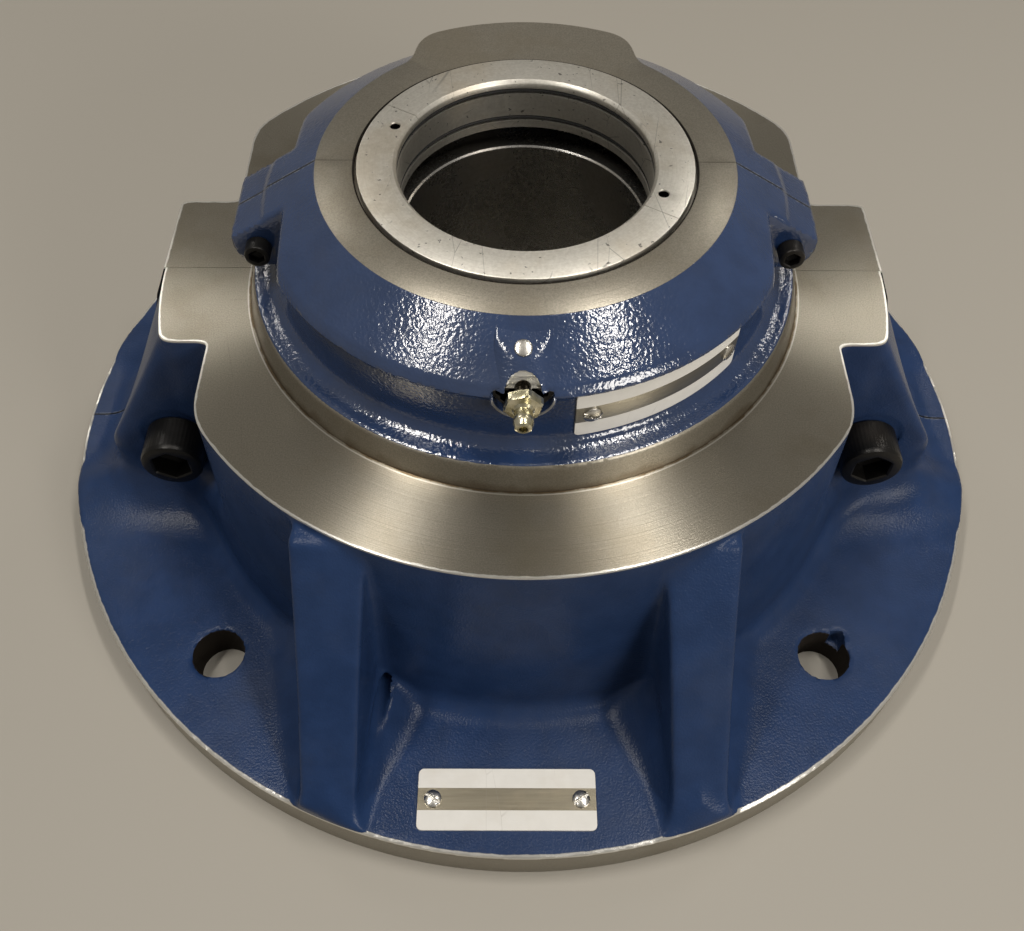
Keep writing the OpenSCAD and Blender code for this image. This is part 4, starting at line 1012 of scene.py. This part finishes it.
loop = np.linspace(0, 2 * np.pi, 160, endpoint=False)[:, None]
tube = np.linspace(0, 2 * np.pi, 20, endpoint=False)[None, :]
for end, part in ((1, "upper"), (-1, "lower")):
    rings = []
    for level_h in (seal_top - seal_len + cord_in, seal_top - cord_in):
        rad = seal_bore + 2.1 + 2.0 * np.cos(tube)
        high = end * (level_h - swivel_z + 1.0 * np.sin(tube)) + swivel_z
        torus = np.stack([rad * np.cos(loop), rad * np.sin(loop), high + 0 * loop], axis=-1).reshape(-1, 3)
        rings.append((torus, grid_quads(160, 20, True, True).tolist()))
    points, faces = together(rings)
    put(f"{part}_cords", points, faces, cord_finish, "inner_ring", [f"{part}_seal_cords"], "rubber_cord")

# %% [markdown]
# ## Joint screws
# Socket head cap screws with a black oxide finish. The head has a knurled side, a bevelled
# rim and a hexagon socket with a cone at its bottom. The socket reads as a dark round from
# a distance, because its walls are black as well.

# %% Joint screws
screw_finish, tree, shader, coords = new_material("black_oxide", Metallic=0.6, Specular_IOR_Level=0.4)
marks = use(tree, handling_marks, {"Coords": coords, "Scratch Amount": 0.4, "Stain Amount": 0.8})
black = mix(tree, noise(tree, coords, 250.0, 3.0), (0.006, 0.006, 0.006, 1), (0.016, 0.015, 0.014, 1))
black = mix(tree, times(tree, marks.outputs["Stain"], 0.4), black, (0.060, 0.050, 0.040, 1))
tree.links.new(black, shader.inputs["Base Color"])
tree.links.new(blend_value(tree, noise(tree, coords, 120.0, 3.0), 0.26, 0.45), shader.inputs["Roughness"])
bump(tree, shader, noise(tree, coords, 1400.0, 2.0), 0.00004)


def cap_screw(d, length):
    """Screw along +Z from the tip of its shank at -length to the top of its head at d."""
    socket, head, knurl = d * 0.43, d * 0.75, d * 0.006
    return turned([
        (0.01, d * 0.42, 1), (socket * 0.55, d * 0.45, 1), (socket, d * 0.52, 1), (socket, d - 0.03 * d, 1),
        (socket * 1.12, d, 0.6), (head - d * 0.09, d), (head - d * 0.03, d - d * 0.03), (head, d - d * 0.10),
        (head, d - d * 0.16, 0, knurl), (head, d * 0.12, 0, knurl), (head, d * 0.05), (head - d * 0.04, 0),
        (d / 2, 0), (d / 2, -length + d * 0.1), (d / 2 - d * 0.1, -length), (0.01, -length)], 192)


out_front = [(1, 0, 0), (0, 0, 1), (0, -1, 0)]
sets = (
    ("flange_joint_screws", "flange", 16.0, 70.0, screw_seat, [(s * screw_x, screw_z) for s in (-1, 1)]),
    ("cartridge_joint_screws", "cartridge", 6.0, 28.6, -cart_lug_half,
     [(s * lug_screw_x, swivel_z + e * lug_screw_h) for e in (-1, 1) for s in (-1, 1)]),
)
for name, body, d, length, seat_y, spots in sets:
    points, faces = cap_screw(d, length)
    shapes = [(moved(points, (x, seat_y, z), out_front), faces) for x, z in spots]
    put(name + "_set", *together(shapes), screw_finish, body, [name], "black_oxide", 30)

# %% [markdown]
# ## Grease nipple and domed plug
# The nipple is a yellow passivated turning: a thread in the boss, a hexagon for the spanner,
# a waist and a ball head with a small hole. The plug above it is a bright steel pin with a
# low dome.

# %% Nipple and plug
zinc_finish, tree, shader, coords = new_material("yellow_zinc", Metallic=1.0)
hex_low, hex_high = 6.0, 9.2
patchy = step(tree, noise(tree, coords, 260.0, 3.0), 0.35, 0.65)
zinc = mix(tree, patchy, (0.50, 0.46, 0.30, 1), (0.74, 0.70, 0.54, 1))
# Painted shade: the thread behind the hexagon, down in the recess, is coloured near black.
shank_shade = step(tree, add(tree, "ShaderNodeSeparateXYZ", {0: coords}).outputs[1],
              -(nipple_seat + hex_low + 0.1) * MM, -(nipple_seat + hex_low - 0.3) * MM)
tree.links.new(mix(tree, shank_shade, zinc, (0.02, 0.017, 0.012, 1)), shader.inputs["Base Color"])
tree.links.new(blend_value(tree, noise(tree, coords, 420.0, 3.0), 0.14, 0.34), shader.inputs["Roughness"])
bump(tree, shader, noise(tree, coords, 800.0, 2.0), 0.00002)
pin_finish = turned_metal("bright_pin", (0.52, 0.50, 0.46, 1), (0.70, 0.68, 0.64, 1), 0.22, 0.25, 0.3)

nipple_len = -nipple_low[1] - nipple_seat
half_af, ball = 5.5, 3.2
nipple_rows = [
    (0.01, -9), (3.0, -9), (3.0, hex_low - 0.2), (half_af - 0.5, hex_low, 0.2), (half_af, hex_low + 0.8, 1),
    (half_af, hex_high, 1), (half_af * 0.97, hex_high + 0.5, 0.5), (4.5, hex_high + 0.7),
    (3.5, hex_high + 1.0), (2.9, hex_high + 1.8), (2.8, nipple_len - 5.0), (3.0, nipple_len - 4.4),
    (ball - 0.1, nipple_len - 3.7), (ball, nipple_len - 3.0), (ball, nipple_len - 2.2),
    (ball - 0.25, nipple_len - 1.3), (2.6, nipple_len - 0.45), (1.9, nipple_len), (1.35, nipple_len),
    (1.25, nipple_len - 0.5), (1.2, nipple_len - 3), (0.01, nipple_len - 3)]
points, faces = turned(nipple_rows, 96)
twist = math.radians(-14)
points = points @ [(math.cos(twist), math.sin(twist), 0), (-math.sin(twist), math.cos(twist), 0), (0, 0, 1)]
points = moved(points, (boss_x, -nipple_seat, swivel_z + nipple_h), out_front)
put("nipple", points, faces, zinc_finish, "cartridge", ["grease_nipple"], "yellow_zinc", 32)

plug_y, tilt = 82.0, math.atan(boss_fall)
plug_z = swivel_z + boss_high - (plug_y - boss_start) * boss_fall
plug_r, plug_deep = 2.8, 3.2
dome = [(plug_r * math.cos(t), 0.35 + 0.5 * math.sin(t)) for t in np.linspace(0, math.pi / 2 - 0.02, 9)]
points, faces = turned([(0.01, -plug_deep), (plug_r, -plug_deep), (plug_r, 0.2)] + dome, 48)
lean = [(1, 0, 0), (0, math.cos(tilt), math.sin(tilt)), (0, -math.sin(tilt), math.cos(tilt))]
points = moved(points, (boss_x, -plug_y, plug_z), lean)
put("plug", points, faces, pin_finish, "cartridge", ["domed_plug"], "bright_steel", 40)

# %% [markdown]
# ## Nameplates
# Thin aluminium plates with white printed bands along their long edges and bare metal
# between. One lies flat on the flange and one is bent round the neck. They stay without
# words. A grid of two parameters gives the sheet, with its corners rounded, and the second
# plate is the same sheet laid on a cylinder. Each is held by two slotted drive screws.

# %% Plates
def plate_sheet(length, height, thick, corner=2.0, n=97, m=33):
    """Closed sheet: a grid over its length and height with round corners, top over bottom."""
    u = np.linspace(-length / 2, length / 2, n)[:, None] + np.zeros((1, m))
    v = np.linspace(-height / 2, height / 2, m)[None, :] + np.zeros((n, 1))
    du, dv = np.abs(u) - (length / 2 - corner), np.abs(v) - (height / 2 - corner)
    in_corner = (du > 0) & (dv > 0)
    pull = np.where(in_corner, np.maximum(du, dv) / np.maximum(np.hypot(du, dv), 1e-6), 1)
    u = np.where(in_corner, np.sign(u) * (length / 2 - corner + du * pull), u)
    v = np.where(in_corner, np.sign(v) * (height / 2 - corner + dv * pull), v)
    top = np.stack([u, v, np.full_like(u, thick)], axis=-1).reshape(-1, 3)
    quads = grid_quads(n, m)
    i = np.arange(n * m).reshape(n, m)
    rim = np.concatenate([i[:, 0], i[-1, 1:], i[-2::-1, -1], i[0, -2:0:-1]])
    side = np.stack([rim, np.roll(rim, -1), np.roll(rim, -1) + n * m, rim + n * m], axis=-1)
    return np.concatenate([top, top * [1, 1, 0]]), np.concatenate([quads, quads[:, ::-1] + n * m, side])


def plate_material(name, across, middle, half_band, metal_low, metal_high, white_low, white_high):
    """White bands beyond half_band from the middle line, bare brushed metal within it. Both finishes
    vary between two shades."""
    mat, tree, shader, coords = new_material(name)
    rho, xyz = radius_of(tree, coords)
    off = calc(tree, "ABSOLUTE", minus(tree, xyz[across], middle * MM))
    white = step(tree, off, (half_band - 0.08) * MM, (half_band + 0.08) * MM)
    marks = use(tree, handling_marks, {"Coords": coords, "Scratch Amount": 0.6, "Stain Amount": 0.7})
    brushed = add(tree, "ShaderNodeMapping", {"Vector": coords})
    brushed.inputs["Scale"].default_value = (60, 900, 900) if across == 1 else (120, 120, 2500)
    grain = noise(tree, brushed.outputs[0], 1.0, 3.0)
    metal = mix(tree, grain, metal_low, metal_high)
    paper = mix(tree, noise(tree, coords, 200.0, 3.0), white_low, white_high)
    both = mix(tree, white, metal, paper)
    both = mix(tree, times(tree, marks.outputs["Stain"], 0.35), both, (0.40, 0.33, 0.22, 1))
    both = mix(tree, times(tree, marks.outputs["Scratch"], 0.5), both, (0.25, 0.23, 0.20, 1))
    tree.links.new(both, shader.inputs["Base Color"])
    tree.links.new(blend_value(tree, white, 0.92, 0.0), shader.inputs["Metallic"])
    tree.links.new(blend_value(tree, white, 0.30, 0.42), shader.inputs["Roughness"])
    bump(tree, shader, grain, 0.00002)
    return mat


plate_size = plate_high - plate_low
plate_tall = plate_size[1] + 2.0
plate_mid = (plate_high + plate_low) / 2
sheet, faces = plate_sheet(plate_size[0], plate_tall, plate_size[2])
# Painted shade: the flat plate's colours are set darker than the upright plate's, to offset the strong light
# on its top.
flange_plate_finish = plate_material(
    "flange_plate_finish", 1, plate_mid[1], 4.0, (0.13, 0.115, 0.085, 1), (0.25, 0.225, 0.17, 1),
    (0.56, 0.545, 0.51, 1), (0.65, 0.635, 0.60, 1))
sheet = moved(sheet, (plate_mid[0], plate_mid[1], flange_t))
put("flange_plate", sheet, faces, flange_plate_finish, "flange", ["flange_nameplate"], "plate", 35)

neck_low, neck_high = box_mm("cartridge_nameplate")
neck_mid_z = (neck_low[2] + neck_high[2]) / 2
plate_deg, plate_len = -60.0, 64.0
sheet, faces = plate_sheet(plate_len, neck_high[2] - neck_low[2], 0.8, 1.5)
bend = sheet[:, 0] / neck_r + math.radians(plate_deg)
reach = neck_r + sheet[:, 2]
bent = np.stack([reach * np.cos(bend), reach * np.sin(bend), sheet[:, 1] + neck_mid_z], axis=-1)
# Painted light: the upright plate's colours are set lighter than the flat plate's, to offset the shade on its
# upright face.
neck_plate_finish = plate_material(
    "neck_plate_finish", 2, neck_mid_z, 3.6, (0.30, 0.28, 0.23, 1), (0.52, 0.49, 0.42, 1),
    (0.74, 0.72, 0.67, 1), (0.83, 0.81, 0.77, 1))
put("neck_plate", bent, faces, neck_plate_finish, "cartridge", ["cartridge_nameplate"], "plate", 35)


# %% Drive screws
def drive_screw(d=6.2, rows=28, steps=72):
    """Low round head with a slot: the height drops by a smooth step near the slot's middle line."""
    r = (np.linspace(0, 1, rows) ** 0.8 * d / 2)[:, None]
    angle = np.linspace(0, 2 * np.pi, steps, endpoint=False)[None, :]
    x, y = r * np.cos(angle), r * np.sin(angle)
    dome = 1.45 * np.sqrt(np.clip(1 - (0.86 * r / (d / 2)) ** 2, 0, 1)) + 0 * angle
    slot = 1.1 * (1 - ramp(np.abs(y), 0.45, 0.55))
    head = np.stack([x, y, np.maximum(dome - slot, 0.25)], axis=-1)
    skirt = np.stack([x[-1], y[-1], 0 * x[-1]], axis=-1)[None]
    points = np.concatenate([head, skirt]).reshape(-1, 3)
    under = (rows * steps + np.arange(steps))[::-1]
    return points, grid_quads(rows + 1, steps, wrap_columns=True).tolist() + [under.tolist()]


screw_in = 5.4
head, faces = drive_screw()
shapes = []
for s in (-1, 1):
    lay = s * 0.6
    turn_z = [(math.cos(lay), math.sin(lay), 0), (-math.sin(lay), math.cos(lay), 0), (0, 0, 1)]
    spot = (plate_mid[0] + s * (plate_size[0] / 2 - screw_in), plate_mid[1], plate_high[2])
    shapes.append((moved(head, spot, turn_z), faces))
put("flange_drive_screws", *together(shapes), pin_finish, "flange",
    ["flange_plate_screws"], "bright_steel", 40)

shapes = []
for s in (-1, 1):
    at = math.radians(plate_deg) + s * (plate_len / 2 - screw_in) / neck_r
    outward, along = np.array([math.cos(at), math.sin(at), 0]), np.array([-math.sin(at), math.cos(at), 0])
    lay = s * 0.7 + 0.35
    rise = np.array([0, 0, 1])
    first = along * math.cos(lay) + rise * math.sin(lay)
    second = rise * math.cos(lay) - along * math.sin(lay)
    axes = [first, second, outward]
    shapes.append((moved(head, outward * (neck_r + 0.8) + [0, 0, neck_mid_z], axes), faces))
put("neck_drive_screws", *together(shapes), pin_finish, "cartridge",
    ["cartridge_plate_screws"], "bright_steel", 40)

# %% [markdown]
# ## Hidden pieces
# Races, rollers, cage, collars and dowels sit inside. Their CAD shapes are right as they
# are, so they only get finishes.

# %% Finishes of the CAD nodes that stay
inner_finish = {"cage": brass_finish, "collar_screws": screw_finish}
kept = 0
for name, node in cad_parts.items():
    finish = next((m for key, m in inner_finish.items() if key in name), steel_finish)
    if not node.hide_render:
        node.data.materials.clear()
        node.data.materials.append(finish)
        kept += 1
print("CAD nodes that stay in view:", kept)
